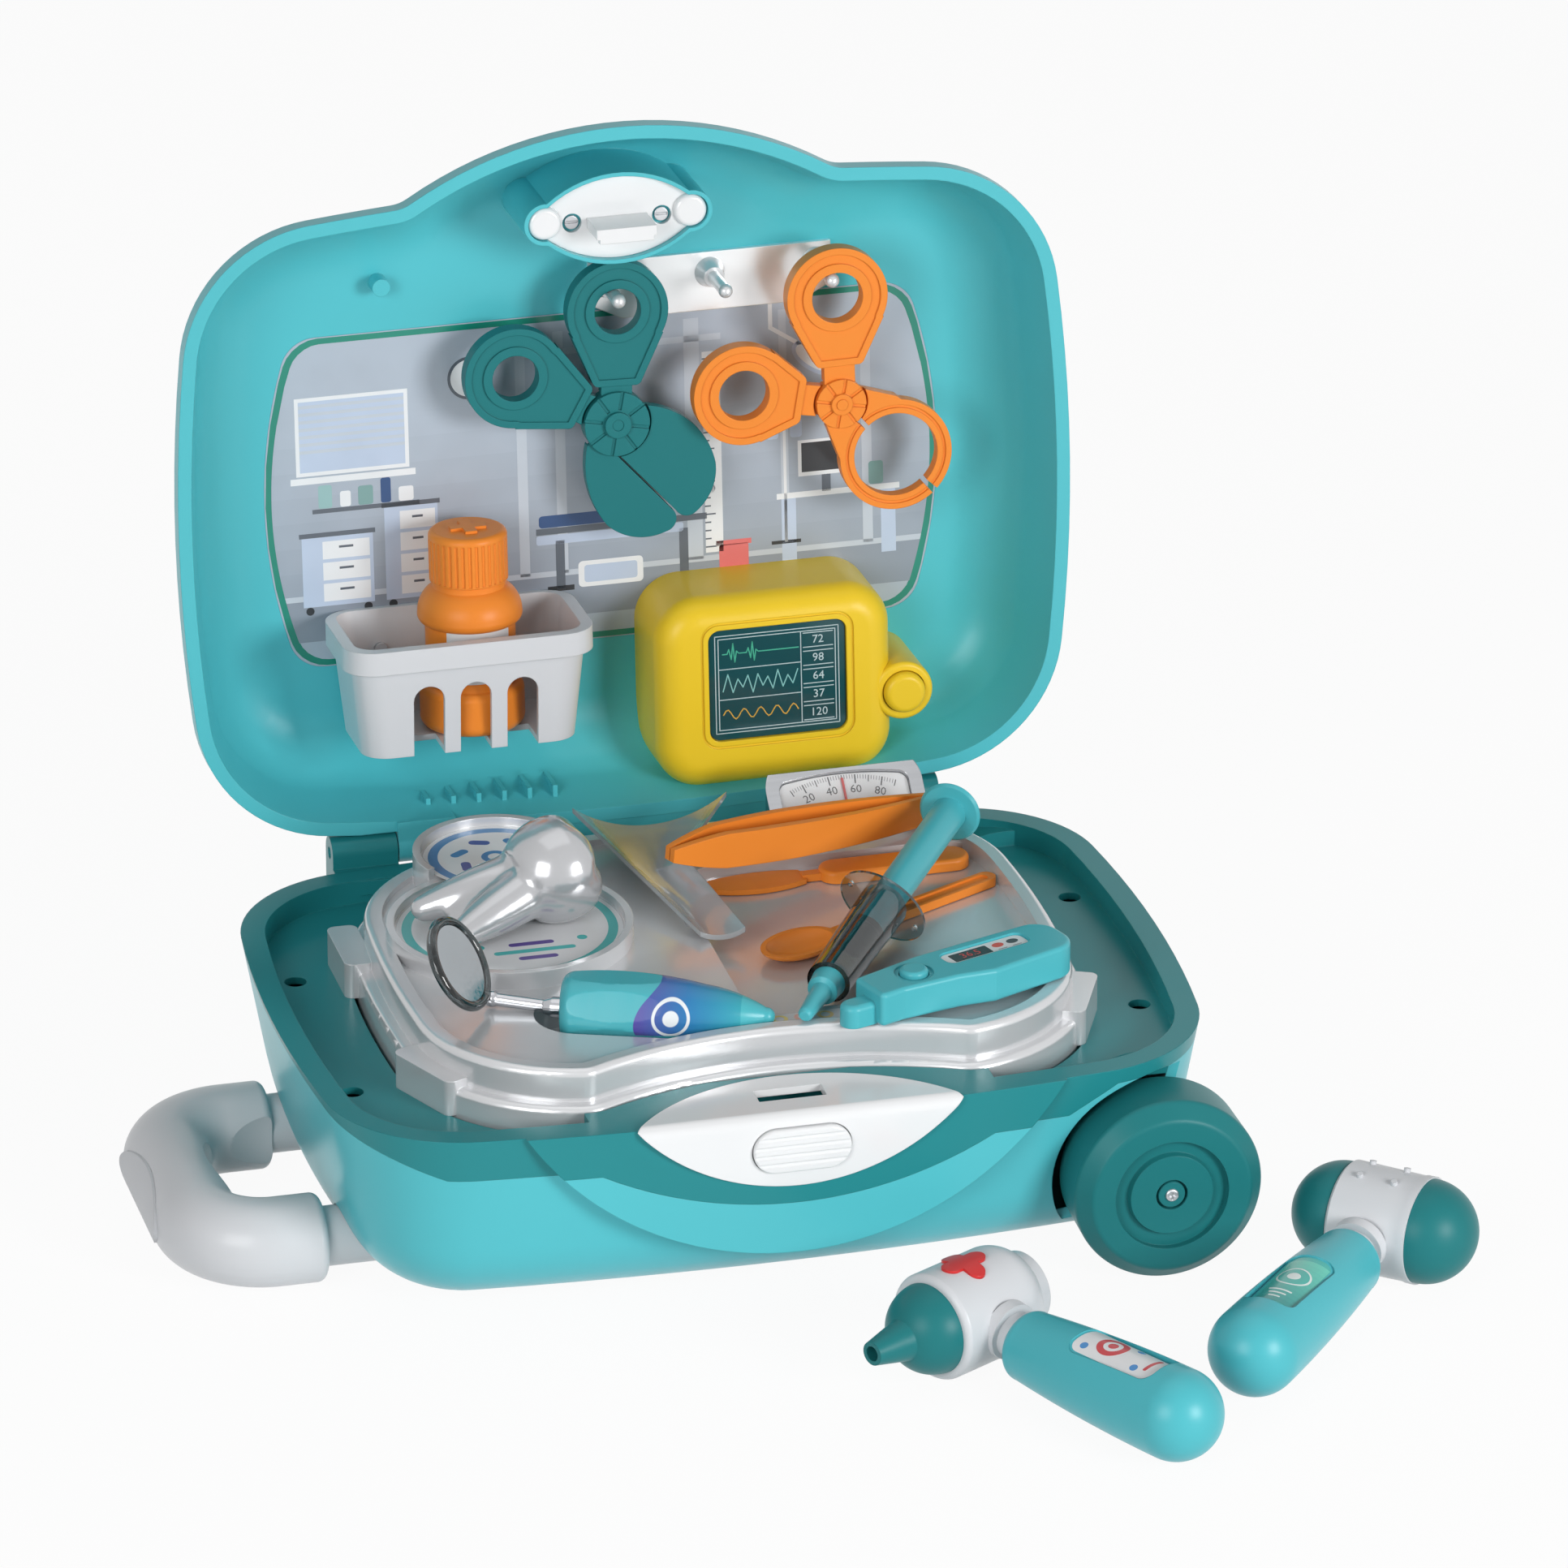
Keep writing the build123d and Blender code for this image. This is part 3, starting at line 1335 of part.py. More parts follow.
# ---------------------------------------------------------------- instruments on the tray
def tooth():
    """Molar lying on its side: a crown with a flat chewing face, and three tapering roots."""
    crown = Vector(*tooth_crown)
    tips = [Vector(*tip) for tip in tooth_roots]
    middle = (tips[0] + tips[1]) * 0.5
    along = (middle - crown).normalized()
    r, far, neck = tooth_crown_r, -tooth_face, tooth_neck
    profile = [
        ThreePointArc((0, far + 1.4), (6, far), (11.5, far + 1.6)),
        ThreePointArc((11.5, far + 1.6), (16.2, far + 5.8), (r, far + 11.5)),
        ThreePointArc((r, far + 11.5), (r - 1.2, neck - 6), (tooth_neck_r, neck)),
        Line((tooth_neck_r, neck), (0, neck)),
        Line((0, neck), (0, far + 1.4)),
    ]
    body = revolve(Plane.XZ * make_face(Wire(profile)), Axis.Z, 360)
    body = Plane(origin=crown, z_dir=along).location * body
    for tip in tips:
        start = crown + along * (neck - 7) + (tip - middle) * 0.28
        plane, length = axis_plane(tuple(start), tuple(tip))
        body = body + plane.location * tooth_root(length + tooth_tip_r)
    floor = big_dish_z - dish_depth + seat_gap
    return only(body & block(-200, 200, -200, 200, floor, 200))


def tooth_root(length):
    """Bowed cone with a round tip, drawn up from its thick end."""
    thick, tip = tooth_root_r, tooth_tip_r
    profile = [
        Line((0, 0), (thick, 0)),
        ThreePointArc((thick, 0), ((thick + tip) / 2 + 0.9, length / 2), (tip, length - tip)),
        ThreePointArc((tip, length - tip), (tip * sin(pi / 4), length - tip * (1 - sin(pi / 4))),
                      (0, length)),
        Line((0, length), (0, 0)),
    ]
    return revolve(Plane.XZ * make_face(Wire(profile)), Axis.Z, 360)


def axis_plane(start, end):
    """Plane at the start of a turned piece, its z along the piece."""
    a, b = Vector(*start), Vector(*end)
    return Plane(origin=a, z_dir=(b - a)), (b - a).length


def mirror_handle():
    """Tapering handle with six flats at its thick end."""
    plane, length = axis_plane(mirror_head, mirror_tail)
    profile = [
        Line((0, 0), (8.4, 0)),
        ThreePointArc((8.4, 0), (10.6, 1.2), (mirror_handle_r - 0.6, 4)),
        ThreePointArc((mirror_handle_r - 0.6, 4), (mirror_handle_r, 22), (9.4, 46)),
        ThreePointArc((9.4, 46), (6.4, 58), (mirror_tail_r, length - 3)),
        ThreePointArc((mirror_tail_r, length - 3), (mirror_tail_r * 0.7, length - 0.8), (0, length)),
        Line((0, length), (0, 0)),
    ]
    body = revolve(Plane.XZ * make_face(Wire(profile)), Axis.Z, 360)
    flats = extrude(RegularPolygon(mirror_handle_r - 0.9, 6, major_radius=False), length)
    socket = Cylinder(ferrule_r, 12)
    return plane.location * only((body & flats) - socket)


def mirror_stem():
    """Ferrule in the handle, then a thin stem that rises to the mirror."""
    a, b = Vector(*mirror_head), Vector(*mirror_tail)
    along = (b - a).normalized()
    root, mouth, tip = a + along * 6, a - along * 3, a - along * 6
    ferrule = rod(tuple(root), tuple(mouth), ferrule_r)
    ferrule = ferrule + rod(tuple(mouth), tuple(tip), ferrule_r, stem_r + 0.2)
    plane, length = axis_plane(tuple(mouth), stem_end)
    reach = sqrt(stem_ball_r ** 2 - stem_r ** 2)
    rise = stem_ball_r * 0.7
    profile = [
        Line((0, 0), (stem_r, 0)),
        Line((stem_r, 0), (stem_r, length - reach)),
        ThreePointArc((stem_r, length - reach), (stem_ball_r, length),
                      (rise, length + sqrt(stem_ball_r ** 2 - rise ** 2))),
        ThreePointArc((rise, length + sqrt(stem_ball_r ** 2 - rise ** 2)),
                      (rise / 2, length + sqrt(stem_ball_r ** 2 - rise ** 2 / 4)), (0, length + stem_ball_r)),
        Line((0, length + stem_ball_r), (0, 0)),
    ]
    stem = plane.location * revolve(Plane.XZ * make_face(Wire(profile)), Axis.Z, 360)
    return only(ferrule + stem)


def ring_plane(shift=0.0):
    normal = Vector(*ring_normal).normalized()
    return Plane(origin=Vector(*ring_centre) + normal * shift, z_dir=normal)


def mirror_ring():
    """Grooved rim round the glass, with a cup for the stem's ball."""
    tube = Pos(ring_major_r, 0) * Circle(ring_tube_r)
    groove = Pos(ring_major_r - ring_tube_r, 0) * Rectangle(ring_tube_r, glass_thickness)
    ring = ring_plane().location * revolve(Plane.XZ * (tube - groove), Axis.Z, 360)
    return only(ring - Pos(*stem_end) * Sphere(stem_ball_r + fit_gap))


def mirror_glass():
    disc = Cylinder(ring_major_r - ring_tube_r / 2, glass_thickness)
    return ring_plane().location * disc


def syringe_frame():
    plane, length = axis_plane(syringe_tip, syringe_disc)
    across = Vector(syringe_disc[1] - syringe_tip[1], syringe_tip[0] - syringe_disc[0], 0).normalized()
    return Plane(origin=plane.origin, x_dir=across, z_dir=plane.z_dir), length


def turned_body(points):
    """Solid of revolution about z from a closed outline of (radius, height) points."""
    return revolve(Plane.XZ * make_face(Polyline(*points, points[0])), Axis.Z, 360)


def syringe_barrel():
    frame, length = syringe_frame()
    inner = barrel_r - barrel_wall
    body = turned_body([
        (2.6, nozzle_length), (barrel_tip_r, nozzle_length), (barrel_r, barrel_end), (inner, barrel_end),
        (inner, nozzle_length + 1.6), (2.6, nozzle_length + 1.6)])
    flange = Rot(0, 0, flange_roll) * Ellipse(flange_half, flange_short) - Circle(inner)
    flange = flange - Rot(0, 0, flange_roll) * (Pos(flange_half - 3, 0) * Circle(0.9)
                                                + Pos(3 - flange_half, 0)
                                                * Circle(0.9))
    body = body + Pos(0, 0, barrel_end - flange_thickness) * extrude(flange, flange_thickness)
    return frame.location * only(body)


def syringe_nozzle():
    """Stepped teal nose that plugs the barrel."""
    frame, length = syringe_frame()
    body = turned_body([
        (0, 0), (1.6, 0), (2.4, 1.2), (3.4, nozzle_length - 7), (5.0, nozzle_length - 6),
        (5.6, nozzle_length), (2.6, nozzle_length), (2.6, nozzle_length + 3), (0, nozzle_length + 3)])
    return frame.location * only(body)


def seal_height():
    return nozzle_length + 3 + syringe_travel + 2


def syringe_plunger():
    frame, length = syringe_frame()
    body = turned_body([
        (0, seal_height() + 6), (plunger_r, seal_height() + 6), (plunger_r, length - disc_thickness),
        (disc_r - 0.8, length - disc_thickness), (disc_r, length - disc_thickness / 2),
        (disc_r - 0.8, length), (0, length)])
    return frame.location * only(body)


def plunger_seal():
    frame, length = syringe_frame()
    r = barrel_r - barrel_wall - seal_gap
    low = seal_height()
    body = turned_body([
        (0, low - 1.5), (r - 1.5, low), (r, low + 1.2), (r - 0.8, low + 3), (r, low + 4.8),
        (r - 0.8, low + 6), (0, low + 6)])
    return frame.location * only(body)


def thermometer_place(shape):
    x, y = thermometer_tip
    return Pos(x, y, tray_top_z + seat_gap) * Rot(0, 0, thermometer_turn) * shape


def thermometer_body():
    """Ear-and-mouth toy thermometer: probe tip, notched neck and a palm-wide body."""
    end = thermometer_length
    outline = Polygon((9, 7.5), (34, 10.5), (end, 10.5), (end, -10.5), (50, -13.0), (38, -10.0), (18, -8.0),
                      (9, -8.5), align=None)
    outline = fillet(outline.vertices().sort_by(Axis.X)[-2:], 8.5)
    small = [v for v in outline.vertices() if v.X < 52]
    outline = fillet(small, 1.8)
    body = extrude(outline, thermometer_thickness, dir=(0, 0, 1))
    body = fillet(body.edges().group_by(Axis.Z)[-1] + body.edges().group_by(Axis.Z)[0], 1.5)
    tip = Pos(6, -0.5, 0) * extrude(SlotOverall(14, 8.4), thermometer_thickness - 4)
    tip = fillet(tip.edges().group_by(Axis.Z)[-1], 2.0)
    body = body + tip
    window = Pos(56, 2.6) * RectangleRounded(32, 8.6, 3)
    body = body - Pos(0, 0, thermometer_thickness - 0.8) * extrude(window, 2)
    ring = Pos(27, 0.2) * Circle(thermometer_button_r + 1.8)
    body = body - Pos(0, 0, thermometer_thickness - 0.6) * extrude(ring, 2)
    bore = Pos(27, 0.2) * Circle(thermometer_button_r + seat_gap)
    body = body - Pos(0, 0, thermometer_thickness - 6) * extrude(bore, 8)
    return thermometer_place(only(body))


def thermometer_button():
    low = thermometer_thickness - 6 + thermometer_travel + seat_gap
    body = Pos(27, 0.2, low) * Cylinder(thermometer_button_r, thermometer_thickness + 1.6 - low,
                                        align=(Align.CENTER, Align.CENTER, Align.MIN))
    return thermometer_place(fillet(body.edges().group_by(Axis.Z)[-1], 1.4))


def between(left, right, z):
    """Frame lying along a piece: x from its left end to its right, z up."""
    dx, dy = right[0] - left[0], right[1] - left[1]
    return Pos(left[0], left[1], z) * Rot(0, 0, degrees(atan2(dy, dx))), hypot(dx, dy)


def knife():
    place, length = between(knife_left, knife_right, tool_pocket_z + seat_gap)
    blade = make_face(Wire([
        ThreePointArc((0, 1.0), (16, 5.6), (38, 4.6)),
        Line((38, 4.6), (39, 2.0)), Line((39, 2.0), (39, -3.0)),
        ThreePointArc((39, -3.0), (20, -6.6), (0, 1.0))]))
    body = extrude(blade, 1.8, dir=(0, 0, 1))
    neck = block(38, 46, -1.8, 1.8, 0, 2.6)
    grip = Pos((44 + length) / 2, 0) * RectangleRounded(length - 44, 12.0, 5.6)
    grip = extrude(grip, cutlery_thickness + 1, dir=(0, 0, 1))
    grip = fillet(grip.edges().group_by(Axis.Z)[-1], 1.4)
    return place * only(body + neck + grip)


def spoon():
    place, length = between(spoon_left, spoon_right, tool_pocket_z + seat_gap)
    bowl_out = Pos(0, 0, 0) * scale(Sphere(10), by=(1.45, 0.95, 0.42))
    bowl_in = Pos(0, 0, 1.3) * scale(Sphere(10), by=(1.33, 0.85, 0.40))
    low = block(-20, 20, -20, 20, -6, 0)
    bowl = Pos(0, 0, 4.2) * ((bowl_out & low) - bowl_in)
    grip = Pos((11 + length) / 2, 0) * RectangleRounded(length - 11, 6.6, 3.2)
    bar = extrude(grip, cutlery_thickness, dir=(0, 0, 1))
    groove = Pos((30 + length) / 2, 0, cutlery_thickness - 0.8) * extrude(
        RectangleRounded(length - 36, 3.8, 1.8), 2)
    return place * only(bowl + (bar - groove - Pos(0, 0, 4.2) * bowl_in))


def tweezer_frame():
    plane, length = axis_plane(tweezer_left, tweezer_right)
    along = plane.z_dir
    across = Vector(-along.Y, along.X, 0).normalized()
    return Plane(origin=plane.origin, x_dir=along, z_dir=along.cross(across)), length


def tweezer_arm(side):
    """One bowed arm of the tweezers, standing on its edge."""
    frame, length = tweezer_frame()
    half = tweezer_height / 2
    y0 = tweezer_half_gap * 0.1
    arm = make_face(Wire([
        ThreePointArc((0, y0), (length * 0.45, 4.4), (length, y0)),
        Line((length, y0), (length, y0 + 1.6)),
        ThreePointArc((length, y0 + 1.6), (length * 0.45, 4.4 + tweezer_skin), (0, y0 + 2.2)),
        Line((0, y0 + 2.2), (0, y0))]))
    body = extrude(arm, tweezer_height, dir=(0, 0, 1))
    body = Pos(0, 0, -half) * body
    side_view = make_face(Wire([
        ThreePointArc((0, -2.2), (20, -half), (46, -half)),
        Line((46, -half), (length, -half + 1)),
        Line((length, -half + 1), (length, half - 1)),
        Line((length, half - 1), (46, half)),
        ThreePointArc((46, half), (20, half), (0, 2.2)),
        Line((0, 2.2), (0, -2.2))]))
    body = body & extrude(Plane.XZ * side_view, 20, both=True)
    for i in range(4):
        x = 17.0 + i * 2.6
        body = body - block(x - 0.4, x + 0.4, 6.4, 12, -half, half)
    if side < 0:
        body = mirror(body, Plane.XZ)
    return frame.location * only(body)


# ---------------------------------------------------------------- otoscope and hammer
def stand_tool(x, y, turn, shape):
    """Places a tool drawn with its head along x and its handle along -y."""
    return Pos(x, y, 0) * Rot(0, 0, turn) * shape


def tool_handle(start, end):
    """Sausage-shaped two-part handle with a label recess, lying along -y."""
    z = handle_mid_r + seat_gap
    cap = handle_mid_r
    profile = [
        Line((0, -start), (handle_neck_r - 1, -start)),
        ThreePointArc((handle_neck_r - 1, -start), (handle_neck_r + 0.8, -start - 1.2),
                      (handle_neck_r + 1.6, -start - 4)),
        ThreePointArc((handle_neck_r + 1.6, -start - 4), (handle_mid_r - 1.2, -(start + end) / 2 + 10),
                      (handle_mid_r, -end + cap)),
        ThreePointArc((handle_mid_r, -end + cap), (cap * cos(pi / 4), -end + cap * (1 - sin(pi / 4))),
                      (0, -end)),
        Line((0, -end), (0, -start)),
    ]
    body = revolve(make_face(Wire(profile)), Axis.Y, 360)
    label = Pos(0, -(start + end) / 2 - 3, 0) * extrude(RectangleRounded(17, 36, 4), 40, dir=(0, 0, 1))
    skin = rod((0, -start, 0), (0, -end, 0), handle_mid_r - 2.0)
    body = body - (label - skin)
    return Pos(0, 0, z) * only(body)


def otoscope_head():
    """Grey head shell with a plus pad on top, a rear cap and the neck to the handle."""
    z = head_r + seat_gap
    body = revolve(make_face(Wire([
        Line((-17.5, 0), (-17.5, 15.4)),
        ThreePointArc((-17.5, 15.4), (-17.0, 16.8), (-15.6, head_r)),
        Line((-15.6, head_r), (10, head_r)),
        ThreePointArc((10, head_r), (17, 15.6), (20, 12.5)),
        Line((20, 12.5), (24, 12.0)),
        Line((24, 12.0), (24, 0)),
        Line((24, 0), (-17.5, 0))])), Axis.X, 360)
    neck = rod((0, -8, 0), (0, -handle_start - 3, -1.6), 7.4)
    collar = rod((0, -15.5, 0), (0, -19.5, -0.4), 9.4)
    bore = rod((-20, 0, 0), (-10, 0, 0), 12.2)
    return Pos(0, 0, z) * only(body + neck + collar - bore)


def otoscope_cone():
    """Domed nose with a hollow speculum tip."""
    z = head_r + seat_gap
    dome = Pos(-16.5, 0, 0) * Sphere(15.0) & block(-60, -17.5, -30, 30, -30, 30)
    plug = rod((-17.5, 0, 0), (-12, 0, 0), 12.0)
    cone = rod((-28, 0, 0), (-cone_reach, 0, 0), 7.2, 3.9)
    bore = rod((-cone_reach - 1, 0, 0), (-cone_reach + 9, 0, 0), 2.5)
    return Pos(0, 0, z) * only(dome + plug + cone - bore)


def otoscope_plus():
    """Raised plus on top of the head."""
    z = head_r + seat_gap
    plus = extrude(SlotOverall(17, 6.4) + Rot(0, 0, 90) * SlotOverall(17, 6.4), 40, dir=(0, 0, 1))
    skin = rod((-14, 0, 0), (9, 0, 0), head_r + 0.9) - rod((-15, 0, 0), (10, 0, 0), head_r)
    return Pos(0, 0, z) * only(Pos(-3, 0, 0) * plus & skin)


def otoscope_handle_body():
    return tool_handle(handle_start, otoscope_handle) - tool_neck_clear(head_r)


def tool_neck_clear(radius):
    z = radius + seat_gap
    return rod((0, -8, z), (0, -handle_start - 3, z - 1.6), 7.4)


def hammer_head():
    """Grey band round the two domes, with studs and the neck to the handle."""
    z = head_r + seat_gap
    body = revolve(make_face(Wire([
        Line((-13, 0), (-13, 16.6)), Line((-13, 16.6), (-12, head_r)),
        Line((-12, head_r), (11.5, head_r - 0.3)),
        Line((11.5, head_r - 0.3), (12.5, head_r)), Line((12.5, head_r), (15, head_r)),
        Line((15, head_r), (15, 0)), Line((15, 0), (-13, 0))])), Axis.X, 360)
    neck = rod((0, -8, 0), (0, -handle_start - 3, -1.6), 7.4)
    collar = rod((0, -17.0, 0), (0, -21, -0.4), 9.2)
    for dx in (-6, 6):
        for t in (-16, 16):
            reach = head_r + 1.1
            stud = rod((dx, 0, 0), (dx, reach * sin(radians(t)), reach * cos(radians(t))), 1.1)
            body = body + stud
    return Pos(0, 0, z) * only(body + neck + collar)


def hammer_domes():
    z = head_r + seat_gap
    low = Pos(-13.6, 0, 0) * Sphere(16.8) & block(-60, -13, -30, 30, -30, 30)
    high = Pos(15.2, 0, 0) * Sphere(17.0) & block(15, 60, -30, 30, -30, 30)
    return Pos(0, 0, z) * Compound([only(low), only(high)])


def hammer_handle():
    return tool_handle(handle_start, hammer_handle_length) - tool_neck_clear(head_r)


# ---------------------------------------------------------------- the whole case
def otoscope_place(shape):
    return stand_tool(otoscope_x, otoscope_y, otoscope_turn, shape)


def hammer_place(shape):
    return stand_tool(hammer_x, hammer_y, hammer_turn, shape)


def build():
    """Every piece by node name, each where it is when the case lies open."""
    pieces = {
        "base_shell": base_shell(),
        "base_rim": base_rim(),
        "base_feet": base_feet(),
        "latch_plate": latch_plate(),
        "latch_button": latch_button(),
        "latch_slider": latch_slider(),
        "hinge_pins": hinge_pins(),
        "wheel_front": wheel(-1),
        "wheel_back": wheel(1),
        "wheel_axle": wheel_axle(),
        "handle_tubes": handle_tubes(),
        "handle_grip": handle_grip(),
        "handle_pad": grip_pad(),
        "tray": tray(),
        "ramp": ramp(),
        "scale_housing": scale_housing(),
        "scale_dial": scale_dial(),
        "scale_needle": scale_needle(),
        "scale_window": scale_window(),
        "tooth": tooth(),
        "mirror_handle": mirror_handle(),
        "mirror_stem": mirror_stem(),
        "mirror_ring": mirror_ring(),
        "mirror_glass": mirror_glass(),
        "syringe_barrel": syringe_barrel(),
        "syringe_nozzle": syringe_nozzle(),
        "syringe_plunger": syringe_plunger(),
        "plunger_seal": plunger_seal(),
        "thermometer_body": thermometer_body(),
        "thermometer_button": thermometer_button(),
        "knife": knife(),
        "spoon": spoon(),
        "tweezers_front_arm": tweezer_arm(-1),
        "tweezers_back_arm": tweezer_arm(1),
    }
    lid = {
        "lid_shell": lid_shell(),
        "room_card": card_solid(),
        "catch_plate": catch_plate(),
        "catch_hook": catch_hook(),
        "lid_screws": lid_screws(),
        "peg_rail": peg_rail(),
        "pegs": pegs(),
        "basket": basket(),
        "monitor_case": monitor_case(),
        "monitor_screen": monitor_screen(),
        "monitor_button": monitor_button(),
        "pill_bottle": pill_bottle(),
        "bottle_cap": bottle_cap(),
        "scissors_front_half": scissor_half("a"),
        "scissors_back_half": scissor_half("b"),
        "scissors_rivet": rivet(scissor_pivot(), scissor_depth, 3.6),
        "clamp_front_half": clamp_half("a"),
        "clamp_back_half": clamp_half("b"),
        "clamp_rivet": rivet(clamp_pivot(), clamp_depth, 3.0),
    }
    floor = {
        "otoscope_head": otoscope_place(otoscope_head()),
        "otoscope_cone": otoscope_place(otoscope_cone()),
        "otoscope_plus": otoscope_place(otoscope_plus()),
        "otoscope_handle": otoscope_place(otoscope_handle_body()),
        "hammer_head": hammer_place(hammer_head()),
        "hammer_domes": hammer_place(hammer_domes()),
        "hammer_handle": hammer_place(hammer_handle()),
    }
    pieces.update({name: in_lid(shape) for name, shape in lid.items()})
    pieces.update(floor)
    return pieces


if __name__ == "__main__":
    for node, piece in build().items():
        write(node, piece)
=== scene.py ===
"""Finishes, prints and small added pieces of an open toy doctor case, laid round its solid pieces.

Metres, +Z up. Sizes written in millimetres are turned into metres by MM.
"""
import json
from math import atan2, cos, degrees, hypot, pi, radians, sin

import bmesh
import bpy
from mathutils import Matrix, Vector


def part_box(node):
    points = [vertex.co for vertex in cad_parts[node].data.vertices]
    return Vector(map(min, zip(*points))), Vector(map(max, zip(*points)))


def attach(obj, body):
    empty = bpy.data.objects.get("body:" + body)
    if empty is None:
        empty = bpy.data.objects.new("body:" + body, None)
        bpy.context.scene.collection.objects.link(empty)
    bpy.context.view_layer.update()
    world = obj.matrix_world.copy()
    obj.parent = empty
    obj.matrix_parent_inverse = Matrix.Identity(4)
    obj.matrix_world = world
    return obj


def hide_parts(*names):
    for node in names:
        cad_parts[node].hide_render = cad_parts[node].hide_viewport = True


bl_info = {
    "name": "Toy Doctor Case",
    "version": (1, 0, 0),
    "blender": (4, 5, 0),
    "location": "View3D > Sidebar > Doctor Case",
    "description": "Dresses the solid pieces of an open toy doctor case and sets its stage",
    "category": "Object",
}

MM = 0.001
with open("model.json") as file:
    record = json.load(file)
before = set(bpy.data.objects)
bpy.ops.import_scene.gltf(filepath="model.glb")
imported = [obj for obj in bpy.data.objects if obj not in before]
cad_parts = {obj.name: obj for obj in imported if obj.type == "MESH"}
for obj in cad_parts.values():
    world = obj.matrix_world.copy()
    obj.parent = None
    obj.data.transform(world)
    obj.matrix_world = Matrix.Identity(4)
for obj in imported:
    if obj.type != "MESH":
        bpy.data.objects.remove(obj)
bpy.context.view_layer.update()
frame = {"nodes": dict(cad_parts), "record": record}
NODES, RECORD = frame["nodes"], frame["record"]
BODY_OF = {node: body for body, members in RECORD["behaviour"]["bodies"].items() for node in members}
SLOT_OF = {row["node"]: row["material_slot"] for row in RECORD["subparts"]}

# The lid's own frame: x across, y up from the hinge, z out of its face towards the front.
LID_LEAN = radians(4.5)
LID_SEAT = 3.2
HINGE = Vector((0.0, 112.0, 73.5))

# Places of the prints, in millimetres: on the lid x, y and depth, elsewhere x, y, z.
CARD_WIDTH, CARD_HEIGHT, CARD_BOW, CARD_CENTRE, CARD_DEPTH = 208.0, 114.0, 10.0, 110.0, 36.0
SCREEN_X, SCREEN_Y, SCREEN_DEPTH = 49.8, 44.0, 3.2
BOTTLE_X, BOTTLE_LABEL_Y, BOTTLE_DEPTH, BOTTLE_WAIST = -50.5, 63.1, 16.4, 14.9
BIG_DISH, BIG_DISH_R = Vector((-63.5, 21.0, 83.0)), 37.4
SMALL_DISH, SMALL_DISH_R = Vector((-57.5, 67.0, 87.0)), 24.4
TRAY_STRIP = Vector((13.0, -60.4, 80.0))
PANEL_RUN, PANEL_RISE, DIAL_DROP = 13.0, 11.5, 1.7
PANEL_MID = Vector((64.5, 82.5, 89.75))
THERMOMETER_TIP, THERMOMETER_TURN = Vector((23.0, -74.4, 93.0)), radians(19.5)
THERMOMETER_WINDOW = Vector((56.0, 2.6, 0.0))
HANDLE_AXIS_Z, LABEL_RADIUS = 15.3, 13.0
OTOSCOPE_TIP, OTOSCOPE_TURN, OTOSCOPE_LABEL = Vector((43.0, -154.9, 0.0)), radians(29.6), 68.0
HAMMER_TIP, HAMMER_TURN, HAMMER_LABEL = Vector((187.0, -127.0, 0.0)), radians(-41.6), 70.0
MIRROR_HEAD, MIRROR_TAIL = Vector((-60.5, -38.5, 82.0)), Vector((3.5, -62.2, 82.0))
TOOTH_CROWN, TOOTH_ROOT_TIP = Vector((-47.0, 26.0, 100.0)), Vector((-83.2, 19.7, 88.0))


# ---------------------------------------------------------------- settings
def colour(label, note, value):
    """A colour that a user may change."""
    return bpy.props.FloatVectorProperty(name=label, description=note, subtype="COLOR", size=3, min=0.0,
                                         max=1.0, default=value)


def length(label, note, value):
    """A length whose default is written in millimetres."""
    return bpy.props.FloatProperty(name=label, description=note, default=value * MM, min=0.0,
                                   subtype="DISTANCE", unit="LENGTH", precision=5)


def share(label, note, value):
    return bpy.props.FloatProperty(name=label, description=note, default=value, min=0.0, max=1.0,
                                   subtype="FACTOR")


def watts(label, note, value):
    return bpy.props.FloatProperty(name=label, description=note, default=value, min=0.0, unit="POWER")


class CaseColours(bpy.types.PropertyGroup):
    """Colours of the plastics."""
    aqua: colour("Aqua", "Shells of the base and the lid", (0.085, 0.50, 0.56))
    teal: colour("Teal", "Rim band", (0.018, 0.235, 0.255))
    deep_teal: colour("Deep teal", "Wheels, scissors, domes and cone", (0.014, 0.175, 0.185))
    turquoise: colour("Turquoise", "Handles of the instruments", (0.075, 0.455, 0.515))
    orange: colour("Orange", "Clamp, bottle and cutlery", (0.84, 0.25, 0.03))
    yellow: colour("Yellow", "Monitor", (0.82, 0.56, 0.022))
    white: colour("White", "Latch and catch plates", (0.80, 0.81, 0.82))
    grey: colour("Pale grey", "Grip, basket and heads", (0.64, 0.655, 0.68))
    silver: colour("Silver", "Tray and pegs", (0.66, 0.665, 0.68))
    red: colour("Red", "Plus sign and needle", (0.62, 0.03, 0.03))
    smoke: colour("Smoke", "See-through barrel", (0.38, 0.46, 0.48))
    rubber: colour("Rubber", "Feet and plunger seal", (0.03, 0.035, 0.038))


class CaseSizes(bpy.types.PropertyGroup):
    """Sizes of what the dressing adds."""
    edge: length("Edge radius", "Soft radius of moulded edges", 0.45)
    ink: length("Ink thickness", "Thickness of one layer of print", 0.03)
    tooth_grain: length("Tooth grid", "Voxel of the tooth's remesh", 1.0)
    cusp: length("Cusp height", "Depth of the furrows in the tooth's chewing face", 1.6)


